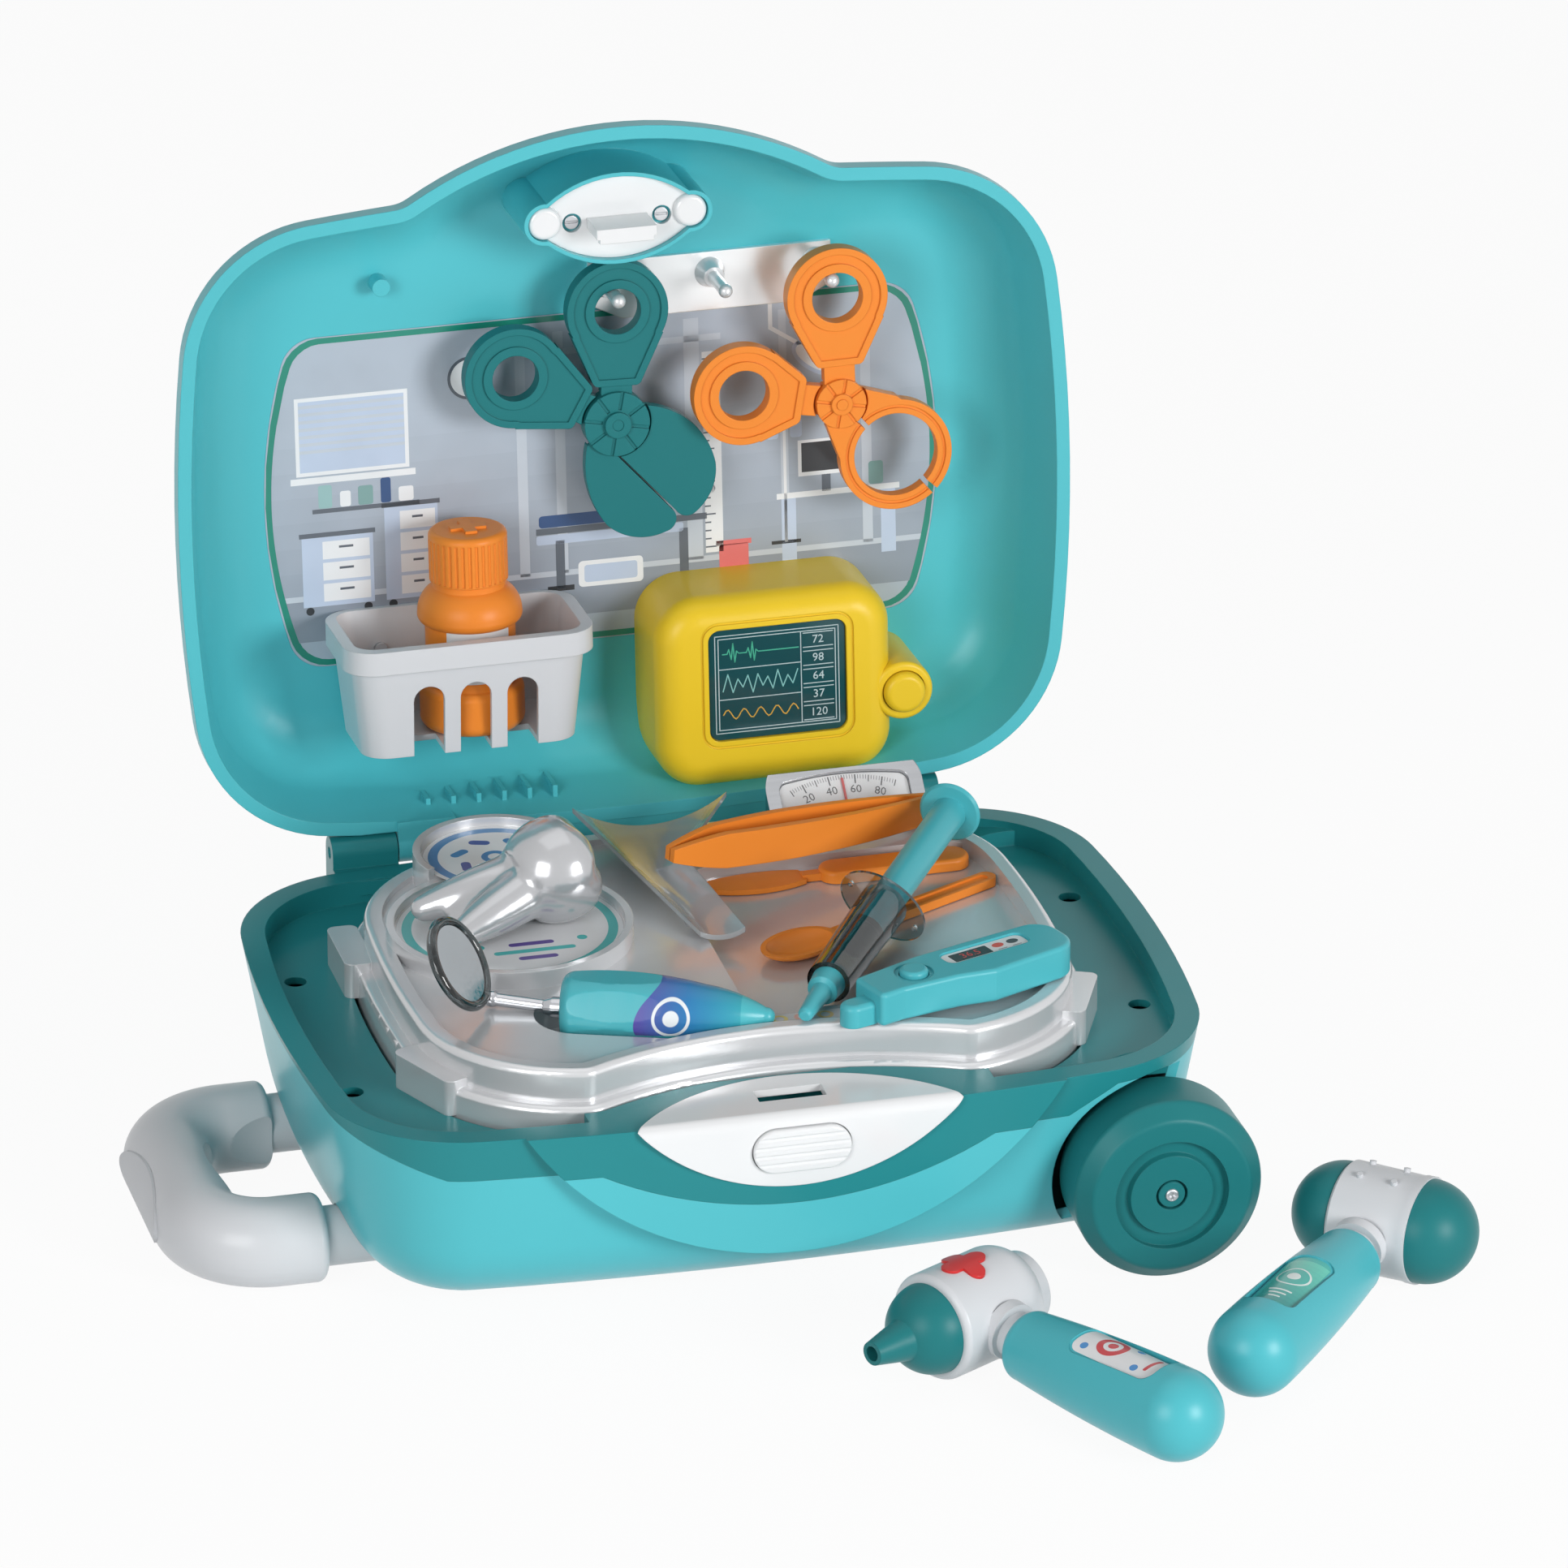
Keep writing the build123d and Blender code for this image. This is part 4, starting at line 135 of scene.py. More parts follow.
class StageLook(bpy.types.PropertyGroup):
    """Lights and floor."""
    key: watts("Key light", "Power of the right-hand light", 20.0)
    fill: watts("Fill light", "Power of the left-hand light", 13.0)
    top: watts("Top light", "Power of the light overhead", 3.0)
    sky: share("Sky", "Brightness of the surroundings", 0.17)
    floor: share("Floor", "Brightness of the floor", 0.86)
    floor_glow: share("Floor glow", "How far the floor shows as plain white", 0.94)


def colours():
    return bpy.context.scene.case_colours


def sizes():
    return bpy.context.scene.case_sizes


# ---------------------------------------------------------------- materials
# Depth of the moulded grain in millimetres; the share of its colour that smoky plastic keeps edge on, a
# painted shade that darkens its outline, and how it bends light; the scale that draws brush marks on metal out
# along x;
# the paper that shows through a print.
GRAIN_DEPTH = 0.02
SMOKE_EDGE_PAINTED_SHADE, SMOKE_IOR = 0.03, 1.3
BRUSH_STREAK = (0.02, 1.0, 1.0)
INK_PAPER = (0.97, 0.97, 0.97)


def node_tree(name):
    """A new material, its nodes and links, and its shader."""
    material = bpy.data.materials.new(name)
    material.use_nodes = True
    nodes = material.node_tree.nodes
    return material, nodes, material.node_tree.links, nodes["Principled BSDF"]


def put(node, **values):
    """Sets a node's sockets; a name's underscores stand for spaces."""
    for name, value in values.items():
        node.inputs[name.replace("_", " ")].default_value = value


def noise(nodes, links, scale, detail=2.0, drawn_out=None):
    """Noise in object coordinates, its scale per metre; a small number in drawn_out makes streaks."""
    place = nodes.new("ShaderNodeTexCoord").outputs["Object"]
    if drawn_out:
        mapping = nodes.new("ShaderNodeMapping")
        put(mapping, Scale=drawn_out)
        links.new(place, mapping.inputs["Vector"])
        place = mapping.outputs["Vector"]
    grain = nodes.new("ShaderNodeTexNoise")
    put(grain, Scale=scale, Detail=detail)
    links.new(place, grain.inputs["Vector"])
    return grain.outputs["Fac"]


def spread(nodes, links, source, low, high, start=0.3, end=0.7):
    """Maps a value from one range to another."""
    span = nodes.new("ShaderNodeMapRange")
    put(span, From_Min=start, From_Max=end, To_Min=low, To_Max=high)
    links.new(source, span.inputs["Value"])
    return span.outputs["Result"]


def worked(nodes, links, operation, *terms):
    """One step of arithmetic on sockets and numbers."""
    step = nodes.new("ShaderNodeMath")
    step.operation = operation
    for socket, term in zip(step.inputs, terms):
        if isinstance(term, (int, float)):
            socket.default_value = term
        else:
            links.new(term, socket)
    return step.outputs["Value"]


def mixed(nodes, links, factor, low, high):
    """Between two colours, each a socket or plain numbers."""
    mix = nodes.new("ShaderNodeMix")
    mix.data_type = "RGBA"
    links.new(factor, mix.inputs["Factor"])
    for name, side in (("A", low), ("B", high)):
        if isinstance(side, bpy.types.NodeSocket):
            links.new(side, mix.inputs[name])
        else:
            mix.inputs[name].default_value = (*side, 1)
    return mix.outputs["Result"]


def soft_edges(nodes, links, shader, grain, strength):
    """Rounded edges and a fine moulded grain, both in the normal."""
    round_edge = nodes.new("ShaderNodeBevel")
    round_edge.samples = 4
    put(round_edge, Radius=sizes().edge)
    bump = nodes.new("ShaderNodeBump")
    put(bump, Distance=GRAIN_DEPTH * MM, Strength=strength)
    links.new(noise(nodes, links, grain), bump.inputs["Height"])
    links.new(round_edge.outputs["Normal"], bump.inputs["Normal"])
    links.new(bump.outputs["Normal"], shader.inputs["Normal"])


def uneven_gloss(nodes, links, shader, source, low, high):
    """Roughness that wanders between two values."""
    links.new(spread(nodes, links, source, low, high), shader.inputs["Roughness"])


def tinted(nodes, links, colour_value, scale, depth):
    """The colour with a slow, slight change over the surface."""
    low = [c * (1 - depth) for c in colour_value]
    high = [min(1.0, c * (1 + depth)) for c in colour_value]
    drift = spread(nodes, links, noise(nodes, links, scale), 0.0, 1.0)
    return mixed(nodes, links, drift, low, high)


def plastic(name, colour_value, gloss=0.24, coat=0.0, shine=0.3, grain=1600.0, strength=0.12, plated=0.0):
    """Moulded plastic with uneven colour and gloss, fine grain and soft edges, coated or plated if asked."""
    material, nodes, links, shader = node_tree(name)
    links.new(tinted(nodes, links, colour_value, 9.0, 0.03), shader.inputs["Base Color"])
    uneven_gloss(nodes, links, shader, noise(nodes, links, 25.0), gloss - 0.02, gloss + 0.03)
    put(shader, Specular_IOR_Level=shine, Metallic=plated, Coat_Weight=coat, Coat_Roughness=0.10)
    soft_edges(nodes, links, shader, grain, strength)
    return material


def clear(name, colour_value, body, gloss=0.04):
    """Thin see-through moulded plastic with faint flow marks; body is how much one wall holds back."""
    material, nodes, links, shader = node_tree(name)
    links.new(tinted(nodes, links, colour_value, 30.0, 0.06), shader.inputs["Base Color"])
    put(shader, Alpha=body, Specular_IOR_Level=0.8, Coat_Weight=1.0, Coat_Roughness=0.03)
    uneven_gloss(nodes, links, shader, noise(nodes, links, 60.0), gloss, gloss + 0.03)
    soft_edges(nodes, links, shader, 200.0, 0.05)
    return material


def smoked(name, colour_value):
    """Smoky glass-clear plastic, with a painted shade that turns it nearly black where it is seen edge on."""
    material, nodes, links, shader = node_tree(name)
    turned = nodes.new("ShaderNodeLayerWeight")
    put(turned, Blend=0.5)
    # Painted shade: the colour darkens towards the outline as the camera sees it, standing in for the dark
    # edges that light bending through clear plastic gives.
    dark = [SMOKE_EDGE_PAINTED_SHADE * part for part in colour_value]
    face = tinted(nodes, links, colour_value, 30.0, 0.04)
    painted_shade_share = spread(nodes, links, turned.outputs["Facing"], 0.0, 1.0, 0.15, 0.8)
    links.new(mixed(nodes, links, painted_shade_share, face, dark), shader.inputs["Base Color"])
    put(shader, Transmission_Weight=1.0, IOR=SMOKE_IOR, Coat_Weight=0.6, Coat_Roughness=0.03)
    uneven_gloss(nodes, links, shader, noise(nodes, links, 60.0), 0.02, 0.05)
    return material


def metal(name, colour_value, gloss):
    """Plated metal, brushed along x."""
    material, nodes, links, shader = node_tree(name)
    links.new(tinted(nodes, links, colour_value, 40.0, 0.04), shader.inputs["Base Color"])
    put(shader, Metallic=1.0)
    brush = noise(nodes, links, 900.0, 3.0, drawn_out=BRUSH_STREAK)
    uneven_gloss(nodes, links, shader, brush, gloss, gloss + 0.10)
    soft_edges(nodes, links, shader, 800.0, 0.10)
    return material


def printed_ink():
    """Print whose colour each face carries."""
    material, nodes, links, shader = node_tree("printed_ink")
    ink = nodes.new("ShaderNodeAttribute")
    ink.attribute_name = "ink"
    soft = nodes.new("ShaderNodeMix")
    soft.data_type = "RGBA"
    soft.blend_type = "MULTIPLY"
    put(soft, Factor=1.0)
    links.new(ink.outputs["Color"], soft.inputs["A"])
    links.new(tinted(nodes, links, INK_PAPER, 60.0, 0.03), soft.inputs["B"])
    links.new(soft.outputs["Result"], shader.inputs["Base Color"])
    uneven_gloss(nodes, links, shader, noise(nodes, links, 200.0), 0.29, 0.35)
    put(shader, Coat_Weight=0.3, Coat_Roughness=0.12)
    return material


# The mirror's label, in millimetres along the handle and up from its axis.
LABEL_START, LABEL_END, LABEL_LOW, LABEL_BACK, LABEL_BEND, LABEL_FADE = 24.0, 58.0, -3.4, 8.0, 0.06, 0.3
LABEL_VIOLET, LABEL_BLUE, LABEL_TEAL = (0.10, 0.07, 0.36), (0.03, 0.20, 0.46), (0.04, 0.36, 0.44)
MARK_ALONG, MARK_UP, MARK_R, MARK_LINE, MARK_DOT_R = 36.0, 2.6, 5.6, 0.8, 2.4
MARK_PALE = (0.80, 0.84, 0.86)


def labelled_handle(name, base):
    """The handle's plastic with a label that fades from violet through blue to teal, and a ring mark."""
    material = plastic(name, base)
    nodes, links = material.node_tree.nodes, material.node_tree.links
    shader = nodes["Principled BSDF"]
    plain = shader.inputs["Base Color"].links[0].from_socket
    run = MIRROR_TAIL - MIRROR_HEAD
    place, along = nodes.new("ShaderNodeTexCoord"), nodes.new("ShaderNodeMapping")
    along.vector_type = "TEXTURE"
    put(along, Location=MIRROR_HEAD * MM, Rotation=(0, 0, atan2(run.y, run.x)), Scale=(MM, MM, MM))
    parts = nodes.new("ShaderNodeSeparateXYZ")
    links.new(place.outputs["Object"], along.inputs["Vector"])
    links.new(along.outputs["Vector"], parts.inputs["Vector"])
    x, y, z = parts.outputs
    bend = worked(nodes, links, "MULTIPLY", worked(nodes, links, "MULTIPLY", z, z), LABEL_BEND)
    mask = spread(nodes, links, worked(nodes, links, "SUBTRACT", x, bend), 0, 1, LABEL_START,
                  LABEL_START + LABEL_FADE)
    over = spread(nodes, links, z, 0, 1, LABEL_LOW, LABEL_LOW + LABEL_FADE)
    front = spread(nodes, links, y, 1, 0, LABEL_BACK, LABEL_BACK + LABEL_FADE)
    ends = spread(nodes, links, x, 1, 0, LABEL_END - LABEL_FADE, LABEL_END)
    for edge in (over, front, ends):
        mask = worked(nodes, links, "MULTIPLY", mask, edge)
    middle = (LABEL_START + LABEL_END) / 2
    first, second = ((LABEL_START, middle), (middle, LABEL_END))
    fade = mixed(nodes, links, spread(nodes, links, x, 0, 1, *first), LABEL_VIOLET, LABEL_BLUE)
    fade = mixed(nodes, links, spread(nodes, links, x, 0, 1, *second), fade, LABEL_TEAL)
    side = worked(nodes, links, "SUBTRACT", x, MARK_ALONG)
    high = worked(nodes, links, "SUBTRACT", z, MARK_UP)
    squares = [worked(nodes, links, "MULTIPLY", part, part) for part in (side, high)]
    reach = worked(nodes, links, "SQRT", worked(nodes, links, "ADD", *squares))
    off = worked(nodes, links, "ABSOLUTE", worked(nodes, links, "SUBTRACT", reach, MARK_R))
    ring = spread(nodes, links, off, 1, 0, MARK_LINE / 2, MARK_LINE / 2 + 0.2)
    dot = spread(nodes, links, reach, 1, 0, MARK_DOT_R, MARK_DOT_R + LABEL_FADE)
    mark = worked(nodes, links, "MULTIPLY", worked(nodes, links, "MAXIMUM", ring, dot),
                  spread(nodes, links, y, 1, 0, 0.0, LABEL_FADE))
    fade = mixed(nodes, links, mark, fade, MARK_PALE)
    links.new(mixed(nodes, links, mask, plain, fade), shader.inputs["Base Color"])
    return material


def make_finishes():
    """One material for each slot of the record, and the extra ones."""
    c = colours()
    glossy = dict(coat=0.3, shine=0.5)
    return {
        "aqua_plastic": plastic("aqua_plastic", c.aqua, gloss=0.30),
        "teal_plastic": plastic("teal_plastic", c.teal, gloss=0.30, shine=0.25),
        "deep_teal": plastic("deep_teal", c.deep_teal, gloss=0.38, shine=0.2),
        "turquoise_plastic": plastic("turquoise_plastic", c.turquoise, gloss=0.32),
        "mirror_label": labelled_handle("mirror_label", c.turquoise),
        "orange_plastic": plastic("orange_plastic", c.orange, gloss=0.36, shine=0.25, strength=0.2),
        "yellow_plastic": plastic("yellow_plastic", c.yellow, gloss=0.34, strength=0.2),
        "white_plastic": plastic("white_plastic", c.white, gloss=0.14, coat=0.4, shine=0.5,
                                 strength=0.03),
        "pale_plastic": plastic("pale_plastic", c.grey, gloss=0.32, coat=0.1),
        "silver_plastic": plastic("silver_plastic", c.silver, gloss=0.22, strength=0.05, plated=0.35,
                                  **glossy),
        "soft_pad": plastic("soft_pad", c.grey, gloss=0.5, grain=900.0, strength=0.4),
        "red_plastic": plastic("red_plastic", c.red, gloss=0.3),
        "dark_rubber": plastic("dark_rubber", c.rubber, gloss=0.55, strength=0.4),
        "clear_plastic": clear("clear_plastic", (0.44, 0.46, 0.48), 0.72, gloss=0.10),
        "clear_window": clear("clear_window", (0.80, 0.82, 0.84), 0.08),
        "smoke_plastic": smoked("smoke_plastic", c.smoke),
        "dark_glass": smoked("dark_glass", (0.12, 0.145, 0.15)),
        "tooth_silver": plastic("tooth_silver", (0.50, 0.505, 0.52), gloss=0.18, coat=0.4, shine=0.5,
                                strength=0.03, plated=0.45),
        "chrome_trim": metal("chrome_trim", (0.46, 0.47, 0.49), 0.12),
        "steel_pin": metal("steel_pin", (0.55, 0.56, 0.58), 0.30),
        # Painted light: the rail's silver is made lighter than the tray's and the pegs' to stand in for the
        # light it catches.
        "bright_rail": plastic("bright_rail", (0.90, 0.905, 0.915), gloss=0.22, plated=0.5, **glossy),
        "mirror_face": metal("mirror_face", (0.34, 0.37, 0.39), 0.04),
        "screen_face": plastic("screen_face", (0.010, 0.065, 0.075), gloss=0.14, coat=0.6, strength=0.03),
        "printed_card": plastic("printed_card", (0.40, 0.46, 0.54), gloss=0.42, coat=0.1, strength=0.05),
        "ink": printed_ink(),
    }


FINISH = {}
NODE_FINISH = {
    "scissors_front_half": "deep_teal", "scissors_back_half": "deep_teal", "scissors_rivet": "deep_teal",
    "otoscope_cone": "deep_teal", "hammer_domes": "deep_teal", "otoscope_handle": "turquoise_plastic",
    "hammer_handle": "turquoise_plastic", "mirror_handle": "mirror_label", "peg_rail": "bright_rail",
    "wheel_axle": "deep_teal", "wheel_front": "deep_teal", "wheel_back": "deep_teal",
    "scale_window": "clear_window", "mirror_ring": "dark_glass", "tooth": "tooth_silver",
}


# ---------------------------------------------------------------- shaping helpers
# Edges that turn further than SHARP_EDGE stay crisp. The tooth's furrows reach FURROW_HALF to each side of
# their middle lines and deepen over FURROW_RUN, from FURROW_START out from the crown's middle, in millimetres.
SHARP_EDGE = radians(32.0)
TOOTH_SMOOTHING, FURROW_HALF, FURROW_START, FURROW_RUN = 14, 6.5, 6.0, 8.0


def lid_place(depth):
    """Places a drawing on the lid: x across, y up from the hinge, z out; depth in mm behind the rim."""
    upright = Matrix.Rotation(-LID_LEAN, 4, "X")
    to_lid = Matrix(((1, 0, 0, 0), (0, 0, -1, depth - LID_SEAT), (0, 1, 0, 0), (0, 0, 0, 1)))
    return Matrix.Translation(HINGE) @ upright @ to_lid


def finished(mesh_object, body, slot, finish=None, smooth=True):
    """Gives a new piece its finish and its body."""
    mesh_object.data.materials.clear()
    mesh_object.data.materials.append(FINISH[finish or slot])
    if smooth:
        mesh_object.data.shade_smooth()
    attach(mesh_object, body)
    return mesh_object


def from_bmesh(name, form):
    """An object of its own from a bmesh, which it frees."""
    mesh = bpy.data.meshes.new(name)
    form.to_mesh(mesh)
    form.free()
    piece = bpy.data.objects.new(name, mesh)
    bpy.context.scene.collection.objects.link(piece)
    return piece


def merged(node):
    """A copy of the node's mesh with its facets joined."""
    form = bmesh.new()
    form.from_mesh(NODES[node].data)
    bmesh.ops.remove_doubles(form, verts=form.verts, dist=0.002 * MM)
    return form


def replacing(piece, node, smooth):
    """Lets a piece stand for a node, with the node's body and finish."""
    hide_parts(node)
    slot = SLOT_OF[node]
    return finished(piece, BODY_OF[node], slot, NODE_FINISH.get(node, slot), smooth)


def refined(node):
    """The node's own form, shaded smooth between sharp edges, its wide faces kept flat."""
    form = merged(node)
    for face in form.faces:
        face.smooth = True
    for edge in form.edges:
        if len(edge.link_faces) == 2:
            edge.smooth = edge.calc_face_angle(0.0) < SHARP_EDGE
    piece = from_bmesh(node + "_dressed", form)
    even = piece.modifiers.new("even", "WEIGHTED_NORMAL")
    even.keep_sharp = True
    return replacing(piece, node, smooth=False)


def dress(*nodes):
    for node in nodes:
        refined(node)


def applied(piece):
    """Takes a piece's modifiers into its mesh."""
    shape = piece.evaluated_get(bpy.context.evaluated_depsgraph_get())
    mesh = bpy.data.meshes.new_from_object(shape)
    piece.modifiers.clear()
    piece.data = mesh
    return piece


def tooth_skin():
    """The tooth in one skin: its roots run into the crown, and furrows cross its chewing face."""
    piece = from_bmesh("tooth_skin", merged("tooth"))
    skin = piece.modifiers.new("skin", "REMESH")
    skin.mode = "VOXEL"
    skin.voxel_size = sizes().tooth_grain
    soft = piece.modifiers.new("soft", "SMOOTH")
    soft.factor = 0.5
    soft.iterations = TOOTH_SMOOTHING
    applied(piece)
    form = bmesh.new()
    form.from_mesh(piece.data)
    axis = (TOOTH_CROWN - TOOTH_ROOT_TIP).normalized()
    side = axis.cross(Vector((0, 0, 1))).normalized()
    rise = side.cross(axis)
    for vert in form.verts:
        out = vert.co / MM - TOOTH_CROWN
        across, up, along = out.dot(side), out.dot(rise), out.dot(axis)
        face = min(1.0, max(0.0, (along - FURROW_START) / FURROW_RUN))
        furrow = max(1 - abs(across) / FURROW_HALF, 1 - abs(up) / FURROW_HALF, 0.0)
        vert.co -= axis * sizes().cusp * face * furrow * furrow * (3 - 2 * furrow)
    form.to_mesh(piece.data)
    form.free()
    return replacing(piece, "tooth", smooth=True)


# The lid's lower edge bows down a little between its hinges; a lip hangs from it in front of the pins.
LIP_HALF, LIP_LOW, LIP_FRONT, LIP_WALL = 74.0, 69.5, 109.1, 1.4
LIP_TOP, LIP_BOW_R, LIP_BURIED = 75.7, 1136.0, 0.6


def lid_lip():
    """Lip of the lid's lower edge, its top buried in the shell along the edge's bow."""
    form = bmesh.new()
    turn = Matrix.Rotation(radians(90), 4, "X")
    grid = bmesh.ops.create_grid(form, x_segments=24, y_segments=1, size=1.0, matrix=turn)["verts"]
    for vert in grid:
        across = vert.co.x * LIP_HALF
        top = LIP_TOP + LIP_BURIED + across * across / (2 * LIP_BOW_R)
        vert.co = Vector((across, LIP_FRONT, LIP_LOW if vert.co.z < 0 else top)) * MM
    grown = bmesh.ops.extrude_face_region(form, geom=form.faces[:], use_keep_orig=True)["geom"]
    back = [part for part in grown if isinstance(part, bmesh.types.BMVert)]
    bmesh.ops.translate(form, verts=back, vec=(0, LIP_WALL * MM, 0))
    bmesh.ops.recalc_face_normals(form, faces=form.faces[:])
    return finished(from_bmesh("lid_lip", form), "lid", "aqua_plastic", smooth=False)


# The screw in the front wheel's hub and its cross recess, in millimetres.
SCREW_R, SCREW_RISE, SLOT_LONG, SLOT_WIDE, SLOT_DEEP = 2.2, 0.9, 2.6, 0.55, 0.5


def hub_screw():
    """Domed screw with a cross recess in the middle of the front wheel."""
    low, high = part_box("wheel_axle")
    form = bmesh.new()
    bmesh.ops.create_cone(form, cap_ends=True, segments=40, radius1=SCREW_R * MM,
                          radius2=SCREW_R * MM, depth=2 * SCREW_RISE * MM)
    rim = [edge for edge in form.edges if all(vert.co.z > 0 for vert in edge.verts)]
    bmesh.ops.bevel(form, geom=rim, offset=0.8 * SCREW_RISE * MM, segments=4, profile=0.5, affect="EDGES",
                    material=-1)
    head = from_bmesh("hub_screw", form)
    cut = bmesh.new()
    for turn in (0, 90):
        arm = bmesh.ops.create_cube(cut, size=MM)["verts"]
        bmesh.ops.scale(cut, verts=arm, vec=(SLOT_LONG, SLOT_WIDE, 2 * SLOT_DEEP))
        bmesh.ops.rotate(cut, verts=arm, cent=(0, 0, 0), matrix=Matrix.Rotation(radians(turn), 3, "Z"))
        bmesh.ops.translate(cut, verts=arm, vec=(0, 0, SCREW_RISE * MM))
    cutter = from_bmesh("cross_recess", cut)
    recess = head.modifiers.new("recess", "BOOLEAN")
    recess.operation, recess.solver, recess.object = "DIFFERENCE", "EXACT", cutter
    recess.use_self = True
    applied(head)
    bpy.data.objects.remove(cutter)
    middle = Vector(((low[0] + high[0]) / 2, low[1], (low[2] + high[2]) / 2))
    head.data.transform(Matrix.Translation(middle) @ Matrix.Rotation(radians(90), 4, "X"))
    return finished(head, BODY_OF["wheel_axle"], "steel_pin", smooth=False)


# ---------------------------------------------------------------- prints
# Colours of the ward on the card.
WARD = {
    "wall": (0.43, 0.49, 0.57), "pale": (0.53, 0.585, 0.655), "dim": (0.33, 0.38, 0.45),
    "floor": (0.27, 0.31, 0.37), "white": (0.80, 0.82, 0.84), "ice": (0.50, 0.59, 0.74),
    "slate": (0.11, 0.13, 0.16), "dark": (0.03, 0.033, 0.038), "navy": (0.025, 0.075, 0.21),
    "rose": (0.72, 0.17, 0.17), "green": (0.005, 0.24, 0.17), "mint": (0.30, 0.50, 0.50),
    "sage": (0.20, 0.36, 0.35),
}


class Print:
    """A flat drawing in thin closed layers, in millimetres, then set on a piece or bent round it."""

    def __init__(self, name, body, place, slot, wrap=0.0):
        self.name, self.body, self.place, self.slot, self.wrap = name, body, place, slot, wrap
        self.form = bmesh.new()
        self.ink = self.form.loops.layers.float_color.new("ink")
        self.level = 1

    def layer(self, steps=1):
        self.level += steps
        return self

    def raised(self, faces, shade, turn, x, y):
        """Lifts flat faces into a closed layer of one colour and sets it in its place."""
        top = self.level * sizes().ink / MM
        grown = bmesh.ops.extrude_face_region(self.form, geom=faces, use_keep_orig=True)["geom"]
        lifted = [part for part in grown if isinstance(part, bmesh.types.BMVert)]
        bmesh.ops.translate(self.form, verts=lifted, vec=(0, 0, top))
        verts = list({vert for face in faces for vert in face.verts} | set(lifted))
        sheet = list({face for vert in verts for face in vert.link_faces})
        bmesh.ops.recalc_face_normals(self.form, faces=sheet)
        place = Matrix.Translation((x, y, 0)) @ Matrix.Rotation(radians(turn), 4, "Z")
        bmesh.ops.transform(self.form, matrix=place, verts=verts)
        for face in sheet:
            for loop in face.loops:
                loop[self.ink] = (*shade, 1.0)

    def rounded(self, verts, corner):
        """Rounds some corners of a lone face and gives the face back."""
        if corner:
            verts = bmesh.ops.bevel(self.form, geom=verts, offset=corner, segments=5, profile=0.5,
                                    affect="VERTICES", material=-1)["verts"]
        return [verts[0].link_faces[0]]

    def rect(self, x, y, width, height, shade, corner=0.0, turn=0.0):
        made = bmesh.ops.create_grid(self.form, x_segments=1, y_segments=1, size=0.5)["verts"]
        bmesh.ops.scale(self.form, verts=made, vec=(width, height, 1))
        self.raised(self.rounded(made, corner), shade, turn, x, y)

    def disc(self, x, y, radius, shade, squeeze=1.0, turn=0.0, sides=40):
        made = bmesh.ops.create_circle(self.form, cap_ends=True, segments=sides, radius=radius)["verts"]
        bmesh.ops.scale(self.form, verts=made, vec=(1, squeeze, 1))
        self.raised([made[0].link_faces[0]], shade, turn, x, y)

    def stroke(self, points, width, shade):
        for (x0, y0), (x1, y1) in zip(points, points[1:]):
            run = hypot(x1 - x0, y1 - y0)
            self.rect((x0 + x1) / 2, (y0 + y1) / 2, run + width * 0.6, width, shade,
                      turn=degrees(atan2(y1 - y0, x1 - x0)))

    def polygon(self, points, shade, round_at=(), corner=0.0):
        verts = [self.form.verts.new((x, y, 0)) for x, y in points]
        face = self.form.faces.new(verts)
        faces = self.rounded([verts[i] for i in round_at], corner) if round_at else [face]
        self.raised(faces, shade, 0, 0, 0)

    def text(self, x, y, height, words, shade, turn=0.0):
        """Plain figures, such as those on a dial."""
        curve = bpy.data.curves.new("figures", "FONT")
        curve.body = words
        curve.size = height
        curve.align_x, curve.align_y = "CENTER", "CENTER"
        curve.resolution_u = 2
        holder = bpy.data.objects.new("figures", curve)
        mesh = bpy.data.meshes.new_from_object(holder)
        before = len(self.form.faces)
        self.form.from_mesh(mesh)
        self.form.faces.ensure_lookup_table()
        self.raised(self.form.faces[before:], shade, turn, x, y)
        bpy.data.objects.remove(holder)
        bpy.data.curves.remove(curve)
        bpy.data.meshes.remove(mesh)

    def bent(self, strip=1.2):
        """Cuts the drawing into strips and bends them round an axis behind it, parallel to y."""
        half = max(vert.co.x for vert in self.form.verts)
        for i in range(int(2 * half / strip)):
            every = self.form.verts[:] + self.form.edges[:] + self.form.faces[:]
            cut = (-half + (i + 0.5) * strip, 0, 0)
            bmesh.ops.bisect_plane(self.form, geom=every, dist=0.001, plane_co=cut, plane_no=(1, 0, 0))
        for vert in self.form.verts:
            turn, out = vert.co.x / self.wrap, self.wrap + vert.co.z
            vert.co.x, vert.co.z = out * sin(turn), out * cos(turn) - self.wrap

    def done(self):
        """Bends, places and finishes the drawing."""
        if self.wrap:
            self.bent()
        bmesh.ops.transform(self.form, matrix=Matrix.Scale(MM, 4) @ self.place, verts=self.form.verts)
        return finished(from_bmesh(self.name, self.form), self.body, self.slot, "ink", smooth=False)


def card_edge(inset, low=-1.0, high=1.0):
    """Outline of the card, or of a level stretch of it: straight top and bottom, bowed sides."""
    half, rise = CARD_WIDTH / 2 - inset, CARD_HEIGHT / 2 - inset
    points = []
    for side in (1, -1):
        for i in range(9):
            share_up = i / 8 if side > 0 else 1 - i / 8
            t = low + (high - low) * share_up
            points.append((side * (half + CARD_BOW * (1 - t * t)), CARD_CENTRE + t * rise))
    return points


